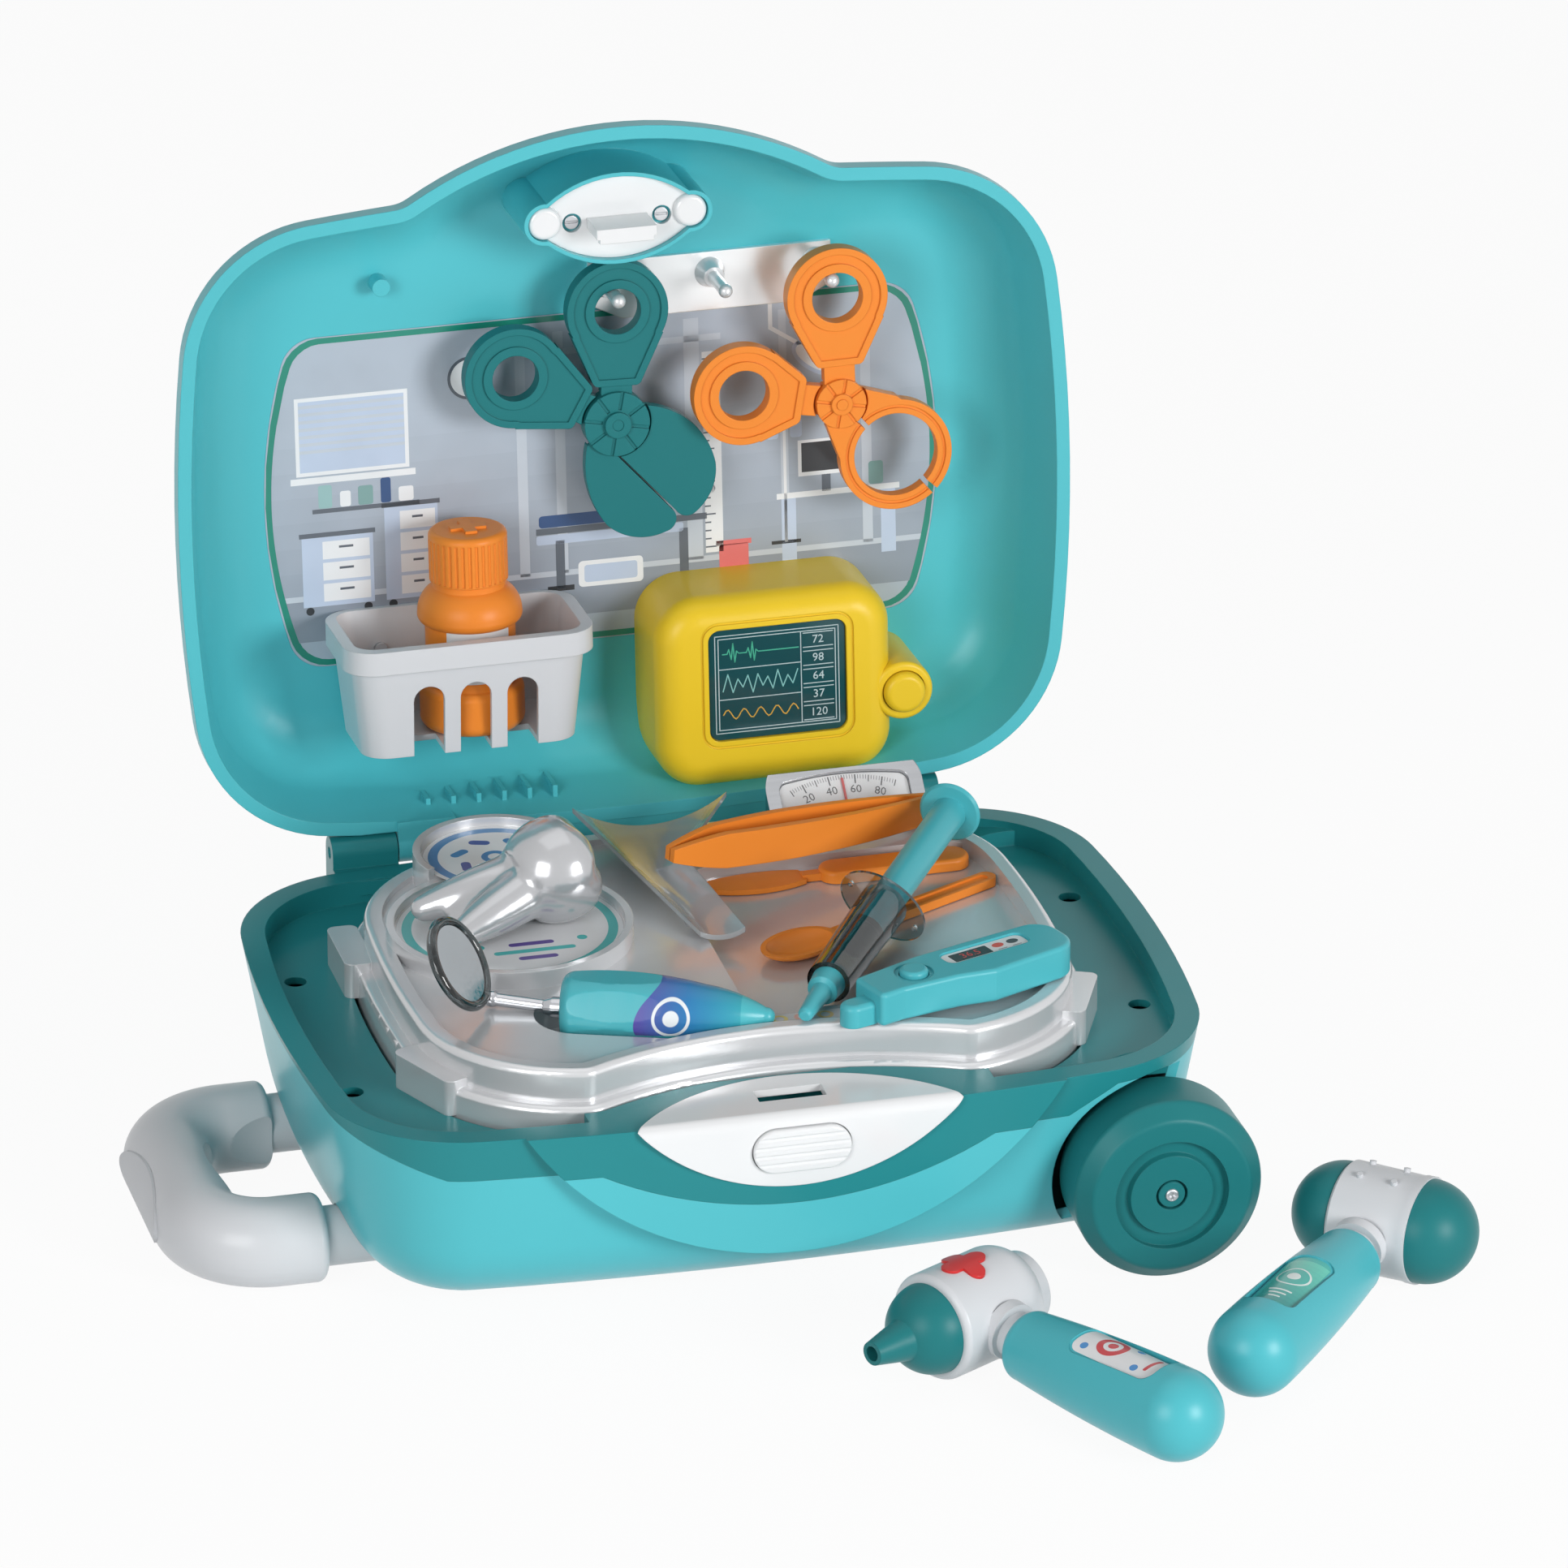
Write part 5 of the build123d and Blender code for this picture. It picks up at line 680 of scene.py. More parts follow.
def ward_print():
    """A plain ward in greys: window, shelf, cabinets, couch, height chart and desk."""
    card = Print("ward_print", "lid", lid_place(CARD_DEPTH), "printed_card")
    ends = (0, 8, 9, 17)
    card.polygon(card_edge(0.4), WARD["green"], round_at=ends, corner=9.0)
    card.layer().polygon(card_edge(2.4), WARD["wall"], round_at=ends, corner=7.6)
    card.layer()
    fade = 7
    for i in range(fade):
        t = i / (fade - 1)
        shade = [a + (b - a) * t for a, b in zip(WARD["dim"], WARD["wall"])]
        low = -0.60 + 0.16 * i
        card.polygon(card_edge(2.4, low, low + 0.16), shade)
    card.polygon(card_edge(2.4, -0.88, -0.60), WARD["floor"])
    card.layer().polygon(card_edge(2.4, -0.62, -0.585), WARD["pale"])
    for x, width in ((-27, 3.4), (-14, 3.4), (31, 5.2), (62, 2.6), (90, 3.4)):
        card.rect(x, 119, width, 84, WARD["pale"])
    card.rect(8, 154, 66, 2.2, WARD["pale"])
    card.layer()
    window_print(card, -84, 133)
    shelf_print(card, -80, 107)
    cabinet_print(card, -90, 86, 24, 24, 3)
    cabinet_print(card, -65, 90, 18, 32, 4)
    clock_print(card, -44, 148)
    couch_print(card, 6, 92)
    chart_print(card, 37.5, 114)
    desk_print(card, 80, 100)
    lamp_print(card, 58, 152)
    stand_print(card, 62, 102)
    return card.done()


def window_print(card, x, y):
    """Window with a blind and a sill."""
    card.rect(x, y, 38, 27, WARD["white"])
    card.layer().rect(x, y, 35.4, 24.4, WARD["ice"])
    card.layer()
    for i in range(7):
        card.rect(x, y + 10.4 - i * 2.6, 35.4, 1.1, WARD["pale"])
    card.rect(x, y - 15.2, 42, 2.2, WARD["white"])
    card.layer(-2)


def shelf_print(card, x, y):
    """Shelf with a row of jars."""
    card.rect(x, y, 36, 1.5, WARD["slate"])
    jars = (("mint", 4.6, 8.0), ("white", 3.6, 5.4), ("sage", 5.0, 6.6), ("navy", 3.4, 8.6),
            ("white", 5.0, 5.0))
    for i, (shade, width, height) in enumerate(jars):
        card.rect(x - 13.6 + i * 6.8, y + 0.9 + height / 2, width, height, WARD[shade], corner=0.8)


def cabinet_print(card, x, y, width, height, drawers):
    """Cabinet on castors, its drawers with pulls."""
    card.rect(x, y, width, height, WARD["ice"])
    card.layer()
    pitch = (height - 2.0) / drawers
    for i in range(drawers):
        middle = y - height / 2 + 1.0 + (i + 0.5) * pitch
        card.rect(x + width * 0.12, middle, width * 0.66, pitch - 1.2, WARD["white"])
        card.layer().rect(x + width * 0.12, middle + pitch * 0.12, width * 0.2, 0.8, WARD["slate"])
        card.layer(-1)
    card.layer(-1)
    card.rect(x, y + height / 2 + 0.8, width + 1.6, 1.6, WARD["slate"])
    for side in (-1, 1):
        card.disc(x + side * (width / 2 - 2.2), y - height / 2 - 1.4, 1.4, WARD["dark"], sides=16)


def clock_print(card, x, y):
    """Round clock with two hands and no figures."""
    card.disc(x, y, 7.4, WARD["slate"])
    card.layer().disc(x, y, 6.4, WARD["white"])
    card.layer().stroke([(x, y), (x, y + 4.4)], 0.7, WARD["dark"])
    card.stroke([(x, y), (x + 3.0, y - 1.6)], 0.7, WARD["dark"])
    card.layer(-2)


def couch_print(card, x, y):
    """Couch with a raised head end, a step box below it and a stool."""
    card.rect(x, y, 58, 2.2, WARD["slate"])
    card.rect(x - 6, y + 3.4, 44, 4.2, WARD["navy"], corner=1.2)
    card.rect(x + 25, y + 7.0, 15, 4.2, WARD["navy"], corner=1.2, turn=28)
    card.rect(x - 4, y - 3.0, 50, 3.2, WARD["ice"], corner=0.8)
    for side in (-1, 1):
        card.rect(x + side * 21, y - 12, 3.0, 17, WARD["slate"])
        card.rect(x + side * 21, y - 20.2, 9.0, 1.8, WARD["dark"])
    card.rect(x - 4, y - 16, 22, 9.0, WARD["white"], corner=1.5)
    card.layer().rect(x - 4, y - 16, 18, 6.0, WARD["ice"], corner=1.0)
    card.layer(-1)
    card.rect(x + 38, y - 15.5, 10, 9.5, WARD["rose"], corner=0.8)
    card.rect(x + 38, y - 10.2, 12, 1.8, WARD["rose"])


def chart_print(card, x, y):
    """Height chart: a bar with ticks."""
    card.rect(x, y, 6.0, 70, WARD["white"])
    card.layer()
    for i in range(24):
        wide = 3.6 if i % 4 == 0 else 2.0
        card.rect(x - 3.0 + wide / 2, y - 33 + i * 2.85, wide, 0.5, WARD["slate"])
    card.layer(-1)


def desk_print(card, x, y):
    """Desk with a blank display and a cup."""
    card.rect(x, y - 4, 42, 2.0, WARD["white"])
    for side in (-1, 1):
        card.rect(x + side * 17, y - 16, 5.0, 22, WARD["ice"])
    card.rect(x - 4, y + 8.6, 19, 12.6, WARD["white"])
    card.layer().rect(x - 4, y + 8.8, 16.6, 10.2, WARD["dark"])
    card.layer(-1)
    card.rect(x - 4, y - 0.6, 3.0, 6.0, WARD["slate"])
    card.rect(x + 13, y + 1.2, 5.0, 8.0, WARD["sage"], corner=1.0)


def lamp_print(card, x, y):
    """Lamp on a bent arm."""
    card.stroke([(x, y + 12), (x, y + 3), (x + 12, y - 5)], 1.4, WARD["white"])
    card.disc(x + 16, y - 9, 10, WARD["ice"], squeeze=0.5, turn=-32)
    card.layer().disc(x + 16, y - 9, 8.6, WARD["white"], squeeze=0.42, turn=-32)
    card.layer(-1)


def stand_print(card, x, y):
    """Stand with two bags."""
    card.rect(x, y, 1.0, 44, WARD["white"])
    card.rect(x, y + 22, 9.0, 0.9, WARD["slate"])
    for side in (-1, 1):
        card.rect(x + side * 4, y + 17.5, 4.0, 6.6, WARD["ice"], corner=1.0)
    card.rect(x, y - 22, 10.0, 1.2, WARD["dark"])


def screen_print():
    """A double frame, three traces and a column of plain figures."""
    pale, green = (0.50, 0.62, 0.64), (0.06, 0.46, 0.30)
    blue, amber = (0.24, 0.56, 0.54), (0.70, 0.42, 0.06)
    place = lid_place(SCREEN_DEPTH) @ Matrix.Translation((SCREEN_X, SCREEN_Y, 0))
    screen = Print("screen_print", "lid", place, "screen_face")
    wide, high, split, line, inner_frame, trace = 21.0, 17.0, 8.2, 0.3, 1.1, 0.36
    for inset in (0.0, inner_frame):
        for side in (-1, 1):
            screen.rect(side * (wide - inset), 0, line, 2 * (high - inset) + line, pale)
            screen.rect(0, side * (high - inset), 2 * (wide - inset) + line, line, pale)
    wide, high = wide - inner_frame, high - inner_frame
    screen.rect(split, 0, line, 2 * high, pale)
    screen.layer()
    for y in (high / 3, -high / 3):
        screen.rect((split - wide) / 2, y, split + wide, line, pale)
    column, rows = (split + wide) / 2, 5
    pitch = 2 * high / rows
    gap, figure = 0.7, 4.0
    for i, words in enumerate(("72", "98", "64", "37", "120")):
        y = high - (i + 0.5) * pitch
        for side in (1, -1):
            screen.rect(column, y + side * (pitch / 2 - gap), wide - split - 2 * gap, line, pale)
        screen.layer().text(column, y, figure, words, pale)
        screen.layer(-1)
    screen.layer()
    beat = [(0, 0), (1.6, 0), (2.2, 1.6), (3.0, -2.0), (3.6, 3.6), (4.2, -3.0), (4.8, 0.8), (5.6, 0),
            (6.6, 0)]
    start = -wide + 2 * gap
    pulse = [(start + k * beat[-1][0] + x, 2 * high / 3 + y) for k in range(2) for x, y in beat]
    screen.stroke(pulse + [(split - 0.8, 2 * high / 3)], trace, green)
    peaks = [(start + i * 1.7, (1.0 if i % 2 else -1.0) * (2.4 + 1.1 * sin(i * 1.3))) for i in range(16)]
    screen.stroke(peaks, trace, blue)
    wave = [(start + i * 0.85, -2 * high / 3 + 1.7 * sin(i * 0.95)) for i in range(31)]
    screen.stroke(wave, trace, amber)
    return screen.done()


STICKER_PAPER = (0.74, 0.75, 0.765)


def dish_print(name, place, radius, ring, marks):
    """A round sticker with a coloured ring, in a raised dish."""
    sticker = Print(name, "base", Matrix.Translation(place), "printed_card")
    for inset, shade in ((0.8, STICKER_PAPER), (2.4, ring), (5.6, STICKER_PAPER)):
        sticker.disc(0, 0, radius - inset, shade, sides=96)
        sticker.layer()
    marks(sticker, ring)
    return sticker.done()


def rule_marks(sticker, ring):
    """Three rules and two dots."""
    plum = (0.10, 0.06, 0.30)
    for i, (shade, reach) in enumerate(((plum, 15.0), (ring, 27.0), (plum, 13.0))):
        sticker.rect(4, -13.0 - i * 5.2, reach, 2.5, shade, corner=1.2)
    for side in (-1, 1):
        sticker.disc(4 + side * 17, -12.4, 1.7, ring, sides=20)


def lozenge_marks(sticker, ring):
    """A wreath of lozenges round a ring."""
    ink, count, wreath_r = (0.05, 0.10, 0.34), 7, 12.0
    for i in range(count):
        turn = 2 * pi * i / count
        sticker.rect(wreath_r * cos(turn), wreath_r * sin(turn), 7.0, 3.2, ring if i % 2 else ink,
                     corner=1.5, turn=degrees(turn) + 60)
    sticker.disc(0, 0, 4.6, ring, sides=32)
    sticker.layer().disc(0, 0, 2.4, STICKER_PAPER, sides=24)


def strip_print():
    """Pale strip near the front of the tray with three soft rings."""
    paper, pitch = (0.62, 0.625, 0.64), 7.5
    strip = Print("tray_strip", "base", Matrix.Translation(TRAY_STRIP), "printed_card")
    strip.rect(0, 0, 28, 6.4, paper, corner=1.5)
    strip.layer()
    for i, shade in enumerate(((0.80, 0.66, 0.22), (0.80, 0.44, 0.38), (0.80, 0.58, 0.26))):
        strip.disc((i - 1) * pitch, 0, 2.7, shade, sides=28)
        strip.layer().disc((i - 1) * pitch, 0, 1.5, paper, sides=24)
        strip.layer(-1)
    return strip.done()


def dial_print():
    """Arc of ticks and plain figures on the scale's panel."""
    black, grey = (0.03, 0.03, 0.035), (0.16, 0.165, 0.175)
    slope = Vector((0, PANEL_RUN, PANEL_RISE)).normalized()
    normal = Vector((0, -slope.z, slope.y))
    mid = PANEL_MID - normal * DIAL_DROP
    place = Matrix(((1, 0, 0, mid.x), (0, slope.y, normal.y, mid.y), (0, slope.z, normal.z, mid.z),
                    (0, 0, 0, 1)))
    dial = Print("dial_print", "base", place, "white_plastic")
    radius, centre, marks, step, figure_drop, figure = 46.0, -39.4, 40, 1.15, 5.3, 4.0
    kinds = {"long": (0.46, 3.2, black), "middle": (0.34, 2.4, black), "short": (0.22, 1.5, grey)}
    for i in range(marks + 1):
        turn = radians((i - marks / 2) * step)
        wide, tall, shade = kinds["long" if i % 10 == 5 else "middle" if i % 5 == 0 else "short"]
        reach = radius - tall / 2
        dial.rect(reach * sin(turn), centre + reach * cos(turn), wide, tall, shade, turn=-degrees(turn))
    dial.layer()
    reach = radius - figure_drop
    for k in range(4):
        turn = radians((10 * k - 15) * step)
        dial.text(reach * sin(turn), centre + reach * cos(turn), figure, str(20 * (k + 1)), black,
                  turn=-degrees(turn))
    return dial.done()


def thermometer_print():
    """White label with a dark window, red figures and two oval marks."""
    place = Matrix.Translation(THERMOMETER_TIP) @ Matrix.Rotation(THERMOMETER_TURN, 4, "Z")
    label = Print("thermometer_label", "thermometer", place @ Matrix.Translation(THERMOMETER_WINDOW),
                  "printed_card")
    label.rect(0, 0, 31.0, 7.8, (0.78, 0.80, 0.81), corner=2.6)
    label.layer().rect(-5.4, 0, 14.4, 5.4, (0.012, 0.010, 0.012), corner=0.5)
    label.layer().text(-5.4, 0, 4.4, "36.5", (0.60, 0.04, 0.03))
    label.layer(-1)
    label.disc(5.6, 0.7, 2.1, (0.66, 0.08, 0.05), squeeze=0.72)
    label.disc(11.2, 0.7, 2.1, (0.05, 0.05, 0.055), squeeze=0.72)
    for x in (5.6, 11.2):
        label.rect(x, -2.3, 3.4, 0.45, (0.35, 0.36, 0.38))
    return label.done()


def bottle_print():
    """Bare white label with three red rules."""
    place = lid_place(BOTTLE_DEPTH) @ Matrix.Translation((BOTTLE_X, BOTTLE_LABEL_Y, BOTTLE_WAIST))
    label = Print("bottle_label", "bottle", place, "printed_card", wrap=BOTTLE_WAIST)
    label.rect(0, 0, 23.0, 19.0, (0.80, 0.81, 0.82), corner=1.6)
    label.layer()
    for y, reach in ((5.2, 13.0), (1.2, 19.0), (-2.8, 13.0)):
        label.rect(0, y, reach, 0.9, (0.66, 0.05, 0.05))
    return label.done()


# Width and length of the labels on the otoscope's and the hammer's handles, and their corners.
HANDLE_LABEL, LABEL_CORNER = (15.6, 34.4), 3.2


def tool_place(tip, turn, along):
    """On top of a tool's handle, in the recess for its label."""
    spin = Matrix.Translation(tip) @ Matrix.Rotation(turn, 4, "Z")
    return spin @ Matrix.Translation((0, -along, HANDLE_AXIS_Z + LABEL_RADIUS))


def otoscope_print():
    """White label with a red ring, three blue dots and a rule."""
    paper, red, blue = (0.78, 0.78, 0.79), (0.58, 0.03, 0.04), (0.05, 0.25, 0.58)
    place = tool_place(OTOSCOPE_TIP, OTOSCOPE_TURN, OTOSCOPE_LABEL)
    label = Print("otoscope_label", "otoscope", place, "printed_card", wrap=LABEL_RADIUS)
    label.rect(0, 0, *HANDLE_LABEL, paper, corner=LABEL_CORNER)
    for radius, shade in ((5.4, red), (3.2, paper), (1.7, red)):
        label.layer().disc(0.4, 5.0, radius, shade, sides=36)
    label.layer(-2)
    for x, y in ((-4.6, 13.0), (5.0, -3.0), (-4.4, -8.4)):
        label.disc(x, y, 1.4, blue, sides=18)
    label.rect(0.6, -12.2, 9.0, 1.3, red, corner=0.6)
    return label.done()


def hammer_print():
    """Green label with a slow change of shade, a ring, a dot and three rules."""
    white, deep, light = (0.74, 0.82, 0.80), (0.02, 0.30, 0.28), (0.12, 0.60, 0.48)
    place = tool_place(HAMMER_TIP, HAMMER_TURN, HAMMER_LABEL)
    label = Print("hammer_label", "hammer", place, "printed_card", wrap=LABEL_RADIUS)
    label.rect(0, 0, *HANDLE_LABEL, (0.04, 0.45, 0.40), corner=LABEL_CORNER)
    label.layer()
    steps, run = 12, 27.0
    for i in range(steps):
        t = i / (steps - 1)
        shade = [a + (b - a) * t for a, b in zip(deep, light)]
        label.rect(0, run * (t - 0.5), 15.0, run / (steps - 1) + 0.05, shade)
    label.layer().disc(0, 3.0, 5.8, white, sides=36)
    label.layer().disc(0, 3.0, 5.1, (0.05, 0.44, 0.38), sides=36)
    label.layer().disc(0, 3.0, 2.2, white, sides=24)
    for i in range(3):
        label.rect(0, -7.0 - i * 2.4, 8.0 - 2 * i, 0.7, white, corner=0.3)
    return label.done()


# ---------------------------------------------------------------- stage
# The camera's target and distance are in millimetres; the lamps' places and sizes and the floor's in metres.
CAMERA_TARGET = Vector((44.0, 84.0, 94.0))
CAMERA_TURN = radians(14.4)
CAMERA_RISE = radians(24.6)
CAMERA_DISTANCE = 4200.0
CAMERA_LENS, SENSOR = 293.5, 36.0
LAMP_AIM = Vector((0.03, 0.0, 0.10))
LAMPS = (("key", (0.95, -1.45, 0.62), (0.6, 0.6)), ("fill", (-1.1, -1.25, 0.8), (0.8, 0.8)),
         ("top", (0.0, 0.1, 1.9), (1.6, 1.2)))
FLOOR_R = 6.0


def seen_plain(nodes, links):
    """1 for what is seen straight, mirrored or through clear plastic, 0 for the light on the case."""
    rays = nodes.new("ShaderNodeLightPath")
    seen = rays.outputs["Is Camera Ray"]
    for name in ("Is Glossy Ray", "Is Transmission Ray"):
        seen = worked(nodes, links, "MAXIMUM", seen, rays.outputs[name])
    return seen


def stage_floor():
    """Pale floor that shows nearly white and keeps a light shadow."""
    look = bpy.context.scene.case_stage
    form = bmesh.new()
    bmesh.ops.create_circle(form, cap_ends=True, segments=96, radius=FLOOR_R)
    floor = from_bmesh("floor", form)
    material, nodes, links, shader = node_tree("floor_paint")
    links.new(tinted(nodes, links, [look.floor] * 3, 3.0, 0.01), shader.inputs["Base Color"])
    put(shader, Roughness=0.6)
    white = nodes.new("ShaderNodeEmission")
    put(white, Strength=1.0)
    mix = nodes.new("ShaderNodeMixShader")
    links.new(worked(nodes, links, "MULTIPLY", seen_plain(nodes, links), look.floor_glow), mix.inputs[0])
    links.new(shader.outputs["BSDF"], mix.inputs[1])
    links.new(white.outputs["Emission"], mix.inputs[2])
    links.new(mix.outputs["Shader"], nodes["Material Output"].inputs["Surface"])
    floor.data.materials.append(material)


def area_light(name, place, size, power):
    """A soft lamp that faces the case."""
    lamp = bpy.data.lights.new(name, "AREA")
    lamp.shape = "RECTANGLE"
    lamp.size, lamp.size_y = size
    lamp.energy = power
    holder = bpy.data.objects.new(name, lamp)
    holder.location = place
    holder.rotation_euler = (LAMP_AIM - Vector(place)).to_track_quat("-Z", "Y").to_euler()
    bpy.context.scene.collection.objects.link(holder)


def stage_lights():
    """Three soft lamps and an even sky, which the camera sees as white."""
    look = bpy.context.scene.case_stage
    for name, place, size in LAMPS:
        area_light(name + "_light", place, size, getattr(look, name))
    world = bpy.context.scene.world or bpy.data.worlds.new("sky")
    bpy.context.scene.world = world
    world.use_nodes = True
    nodes, links = world.node_tree.nodes, world.node_tree.links
    sky = nodes["Background"]
    seen = seen_plain(nodes, links)
    links.new(spread(nodes, links, seen, look.sky, 1.0, 0.0, 1.0), sky.inputs["Strength"])
    put(sky, Color=(1, 1, 1, 1))


def stage_camera():
    """A long lens that looks down on the case from its left front."""
    level = cos(CAMERA_RISE)
    look = Vector((sin(CAMERA_TURN) * level, cos(CAMERA_TURN) * level, -sin(CAMERA_RISE)))
    view = bpy.data.cameras.new("view")
    view.lens = CAMERA_LENS
    view.sensor_width = SENSOR
    view.clip_end = 50.0
    holder = bpy.data.objects.new("view", view)
    holder.location = (CAMERA_TARGET - look * CAMERA_DISTANCE) * MM
    holder.rotation_euler = look.to_track_quat("-Z", "Y").to_euler()
    bpy.context.scene.collection.objects.link(holder)
    bpy.context.scene.camera = holder
    bpy.context.scene.view_settings.view_transform = "Standard"


# ---------------------------------------------------------------- operators
class CASE_OT_finishes(bpy.types.Operator):
    """Makes the materials of the case"""
    bl_idname = "doctor_case.finishes"
    bl_label = "Finishes"

    def execute(self, context):
        FINISH.update(make_finishes())
        return {"FINISHED"}


class CASE_OT_base(bpy.types.Operator):
    """Shells, rim, feet and hinge pins of the base"""
    bl_idname = "doctor_case.base"
    bl_label = "Base"

    def execute(self, context):
        dress("base_shell", "base_rim", "base_feet", "hinge_pins")
        return {"FINISHED"}


class CASE_OT_latch(bpy.types.Operator):
    """Latch plate, its button and the slider behind it"""
    bl_idname = "doctor_case.latch"
    bl_label = "Latch"

    def execute(self, context):
        dress("latch_plate", "latch_button", "latch_slider")
        return {"FINISHED"}


class CASE_OT_wheels(bpy.types.Operator):
    """Both wheels and their axle"""
    bl_idname = "doctor_case.wheels"
    bl_label = "Wheels"

    def execute(self, context):
        dress("wheel_front", "wheel_back", "wheel_axle")
        hub_screw()
        return {"FINISHED"}


class CASE_OT_pull_handle(bpy.types.Operator):
    """Tubes, grip and soft pad of the pull handle"""
    bl_idname = "doctor_case.pull_handle"
    bl_label = "Pull handle"

    def execute(self, context):
        dress("handle_tubes", "handle_grip", "handle_pad")
        return {"FINISHED"}


class CASE_OT_tray(bpy.types.Operator):
    """Tray with its strip and the see-through ramp"""
    bl_idname = "doctor_case.tray"
    bl_label = "Tray"

    def execute(self, context):
        dress("tray", "ramp")
        strip_print()
        return {"FINISHED"}


class CASE_OT_big_dish(bpy.types.Operator):
    """Sticker in the large dish of the tray"""
    bl_idname = "doctor_case.big_dish"
    bl_label = "Large sticker"

    def execute(self, context):
        dish_print("big_dish_sticker", BIG_DISH, BIG_DISH_R, (0.05, 0.46, 0.45), rule_marks)
        return {"FINISHED"}


class CASE_OT_small_dish(bpy.types.Operator):
    """Sticker in the small dish of the tray"""
    bl_idname = "doctor_case.small_dish"
    bl_label = "Small sticker"

    def execute(self, context):
        dish_print("small_dish_sticker", SMALL_DISH, SMALL_DISH_R, (0.04, 0.22, 0.48), lozenge_marks)
        return {"FINISHED"}


class CASE_OT_scale(bpy.types.Operator):
    """Scale with its dial, needle and window"""
    bl_idname = "doctor_case.scale"
    bl_label = "Scale"

    def execute(self, context):
        dress("scale_housing", "scale_dial", "scale_needle", "scale_window")
        dial_print()
        return {"FINISHED"}


class CASE_OT_tooth(bpy.types.Operator):
    """Tooth in one smooth skin"""
    bl_idname = "doctor_case.tooth"
    bl_label = "Tooth"

    def execute(self, context):
        tooth_skin()
        return {"FINISHED"}


class CASE_OT_mirror(bpy.types.Operator):
    """Mouth mirror: handle, stem, ring and glass"""
    bl_idname = "doctor_case.mirror"
    bl_label = "Mirror"

    def execute(self, context):
        dress("mirror_handle", "mirror_stem", "mirror_ring", "mirror_glass")
        return {"FINISHED"}


class CASE_OT_syringe(bpy.types.Operator):
    """Syringe: barrel, nozzle, plunger and seal"""
    bl_idname = "doctor_case.syringe"
    bl_label = "Syringe"

    def execute(self, context):
        dress("syringe_barrel", "syringe_nozzle", "syringe_plunger", "plunger_seal")
        return {"FINISHED"}


class CASE_OT_thermometer(bpy.types.Operator):
    """Thermometer with its button and label"""
    bl_idname = "doctor_case.thermometer"
    bl_label = "Thermometer"

    def execute(self, context):
        dress("thermometer_body", "thermometer_button")
        thermometer_print()
        return {"FINISHED"}


class CASE_OT_cutlery(bpy.types.Operator):
    """Knife, spoon and tweezers"""
    bl_idname = "doctor_case.cutlery"
    bl_label = "Small tools"

    def execute(self, context):
        dress("knife", "spoon", "tweezers_front_arm", "tweezers_back_arm")
        return {"FINISHED"}


class CASE_OT_lid(bpy.types.Operator):
    """Lid shell, catch, screws, rail and pegs"""
    bl_idname = "doctor_case.lid"
    bl_label = "Lid"

    def execute(self, context):
        dress("lid_shell", "catch_plate", "catch_hook", "lid_screws", "peg_rail", "pegs")
        lid_lip()
        return {"FINISHED"}


class CASE_OT_card(bpy.types.Operator):
    """Card in the lid with its printed ward"""
    bl_idname = "doctor_case.card"
    bl_label = "Card"

    def execute(self, context):
        dress("room_card")
        ward_print()
        return {"FINISHED"}


class CASE_OT_bottle(bpy.types.Operator):
    """Basket, pill bottle, its cap and label"""
    bl_idname = "doctor_case.bottle"
    bl_label = "Basket and bottle"

    def execute(self, context):
        dress("basket", "pill_bottle", "bottle_cap")
        bottle_print()
        return {"FINISHED"}


class CASE_OT_monitor(bpy.types.Operator):
    """Monitor with its button and screen"""
    bl_idname = "doctor_case.monitor"
    bl_label = "Monitor"

    def execute(self, context):
        dress("monitor_case", "monitor_screen", "monitor_button")
        screen_print()
        return {"FINISHED"}


class CASE_OT_scissors(bpy.types.Operator):
    """Scissors and ring clamp with their rivets"""
    bl_idname = "doctor_case.scissors"
    bl_label = "Scissors and clamp"

    def execute(self, context):
        dress("scissors_front_half", "scissors_back_half", "scissors_rivet",
              "clamp_front_half", "clamp_back_half", "clamp_rivet")
        return {"FINISHED"}


class CASE_OT_otoscope(bpy.types.Operator):
    """Otoscope: head, cone, plus sign, handle and label"""
    bl_idname = "doctor_case.otoscope"
    bl_label = "Otoscope"

    def execute(self, context):
        dress("otoscope_head", "otoscope_cone", "otoscope_plus", "otoscope_handle")
        otoscope_print()
        return {"FINISHED"}


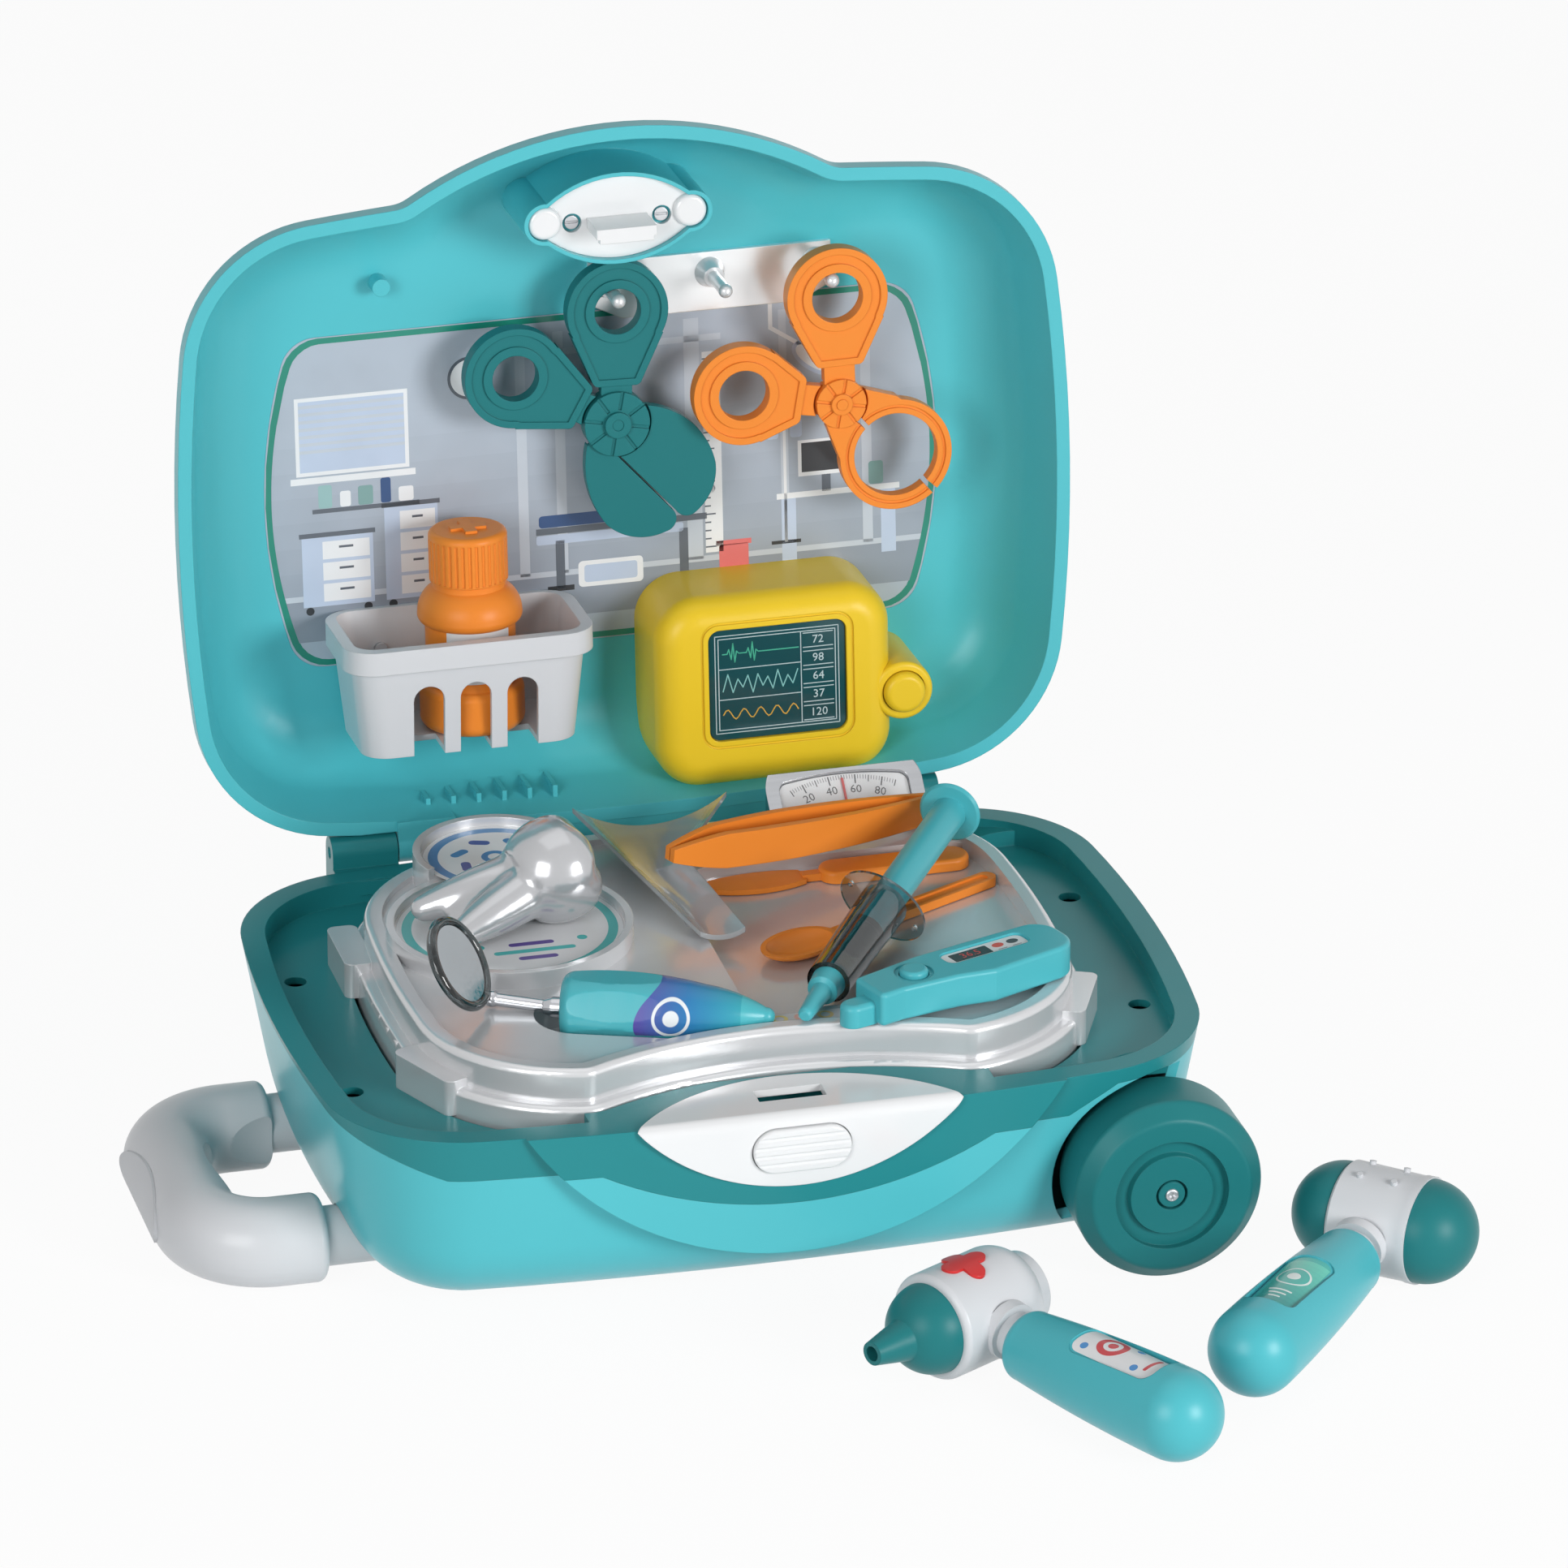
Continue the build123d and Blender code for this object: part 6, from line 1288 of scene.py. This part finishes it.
class CASE_OT_hammer(bpy.types.Operator):
    """Reflex hammer: head, domes, handle and label"""
    bl_idname = "doctor_case.hammer"
    bl_label = "Hammer"

    def execute(self, context):
        dress("hammer_head", "hammer_domes", "hammer_handle")
        hammer_print()
        return {"FINISHED"}


class CASE_OT_stage(bpy.types.Operator):
    """Floor, lights, sky and camera"""
    bl_idname = "doctor_case.stage"
    bl_label = "Stage"

    def execute(self, context):
        stage_floor()
        stage_lights()
        stage_camera()
        return {"FINISHED"}


# ---------------------------------------------------------------- panel and registration
class CASE_PT_panel(bpy.types.Panel):
    """Lists the dressing operators"""
    bl_idname = "CASE_PT_panel"
    bl_label = "Doctor Case"
    bl_space_type = "VIEW_3D"
    bl_region_type = "UI"
    bl_category = "Doctor Case"

    def draw(self, context):
        for step in STEPS:
            self.layout.operator(step.bl_idname)


STEPS = (CASE_OT_finishes, CASE_OT_base, CASE_OT_latch, CASE_OT_wheels, CASE_OT_pull_handle,
         CASE_OT_tray, CASE_OT_big_dish, CASE_OT_small_dish, CASE_OT_scale, CASE_OT_tooth,
         CASE_OT_mirror, CASE_OT_syringe, CASE_OT_thermometer, CASE_OT_cutlery, CASE_OT_lid,
         CASE_OT_card, CASE_OT_bottle, CASE_OT_monitor, CASE_OT_scissors, CASE_OT_otoscope,
         CASE_OT_hammer, CASE_OT_stage)
GROUPS = (CaseColours, CaseSizes, StageLook)


def register():
    for cls in GROUPS + STEPS + (CASE_PT_panel,):
        bpy.utils.register_class(cls)
    bpy.types.Scene.case_colours = bpy.props.PointerProperty(type=CaseColours)
    bpy.types.Scene.case_sizes = bpy.props.PointerProperty(type=CaseSizes)
    bpy.types.Scene.case_stage = bpy.props.PointerProperty(type=StageLook)


def unregister():
    del bpy.types.Scene.case_stage, bpy.types.Scene.case_sizes, bpy.types.Scene.case_colours
    for cls in reversed(GROUPS + STEPS + (CASE_PT_panel,)):
        bpy.utils.unregister_class(cls)


def run_step(step):
    """Calls a step's operator, whose own error stops the script."""
    group, name = step.bl_idname.split(".")
    getattr(getattr(bpy.ops, group), name)()


def plain(box):
    """A box's two corners as lists of numbers."""
    return [[float(x) for x in corner] for corner in box]


def main():
    register()
    for step in STEPS:
        run_step(step)


if __name__ == "__main__":
    main()
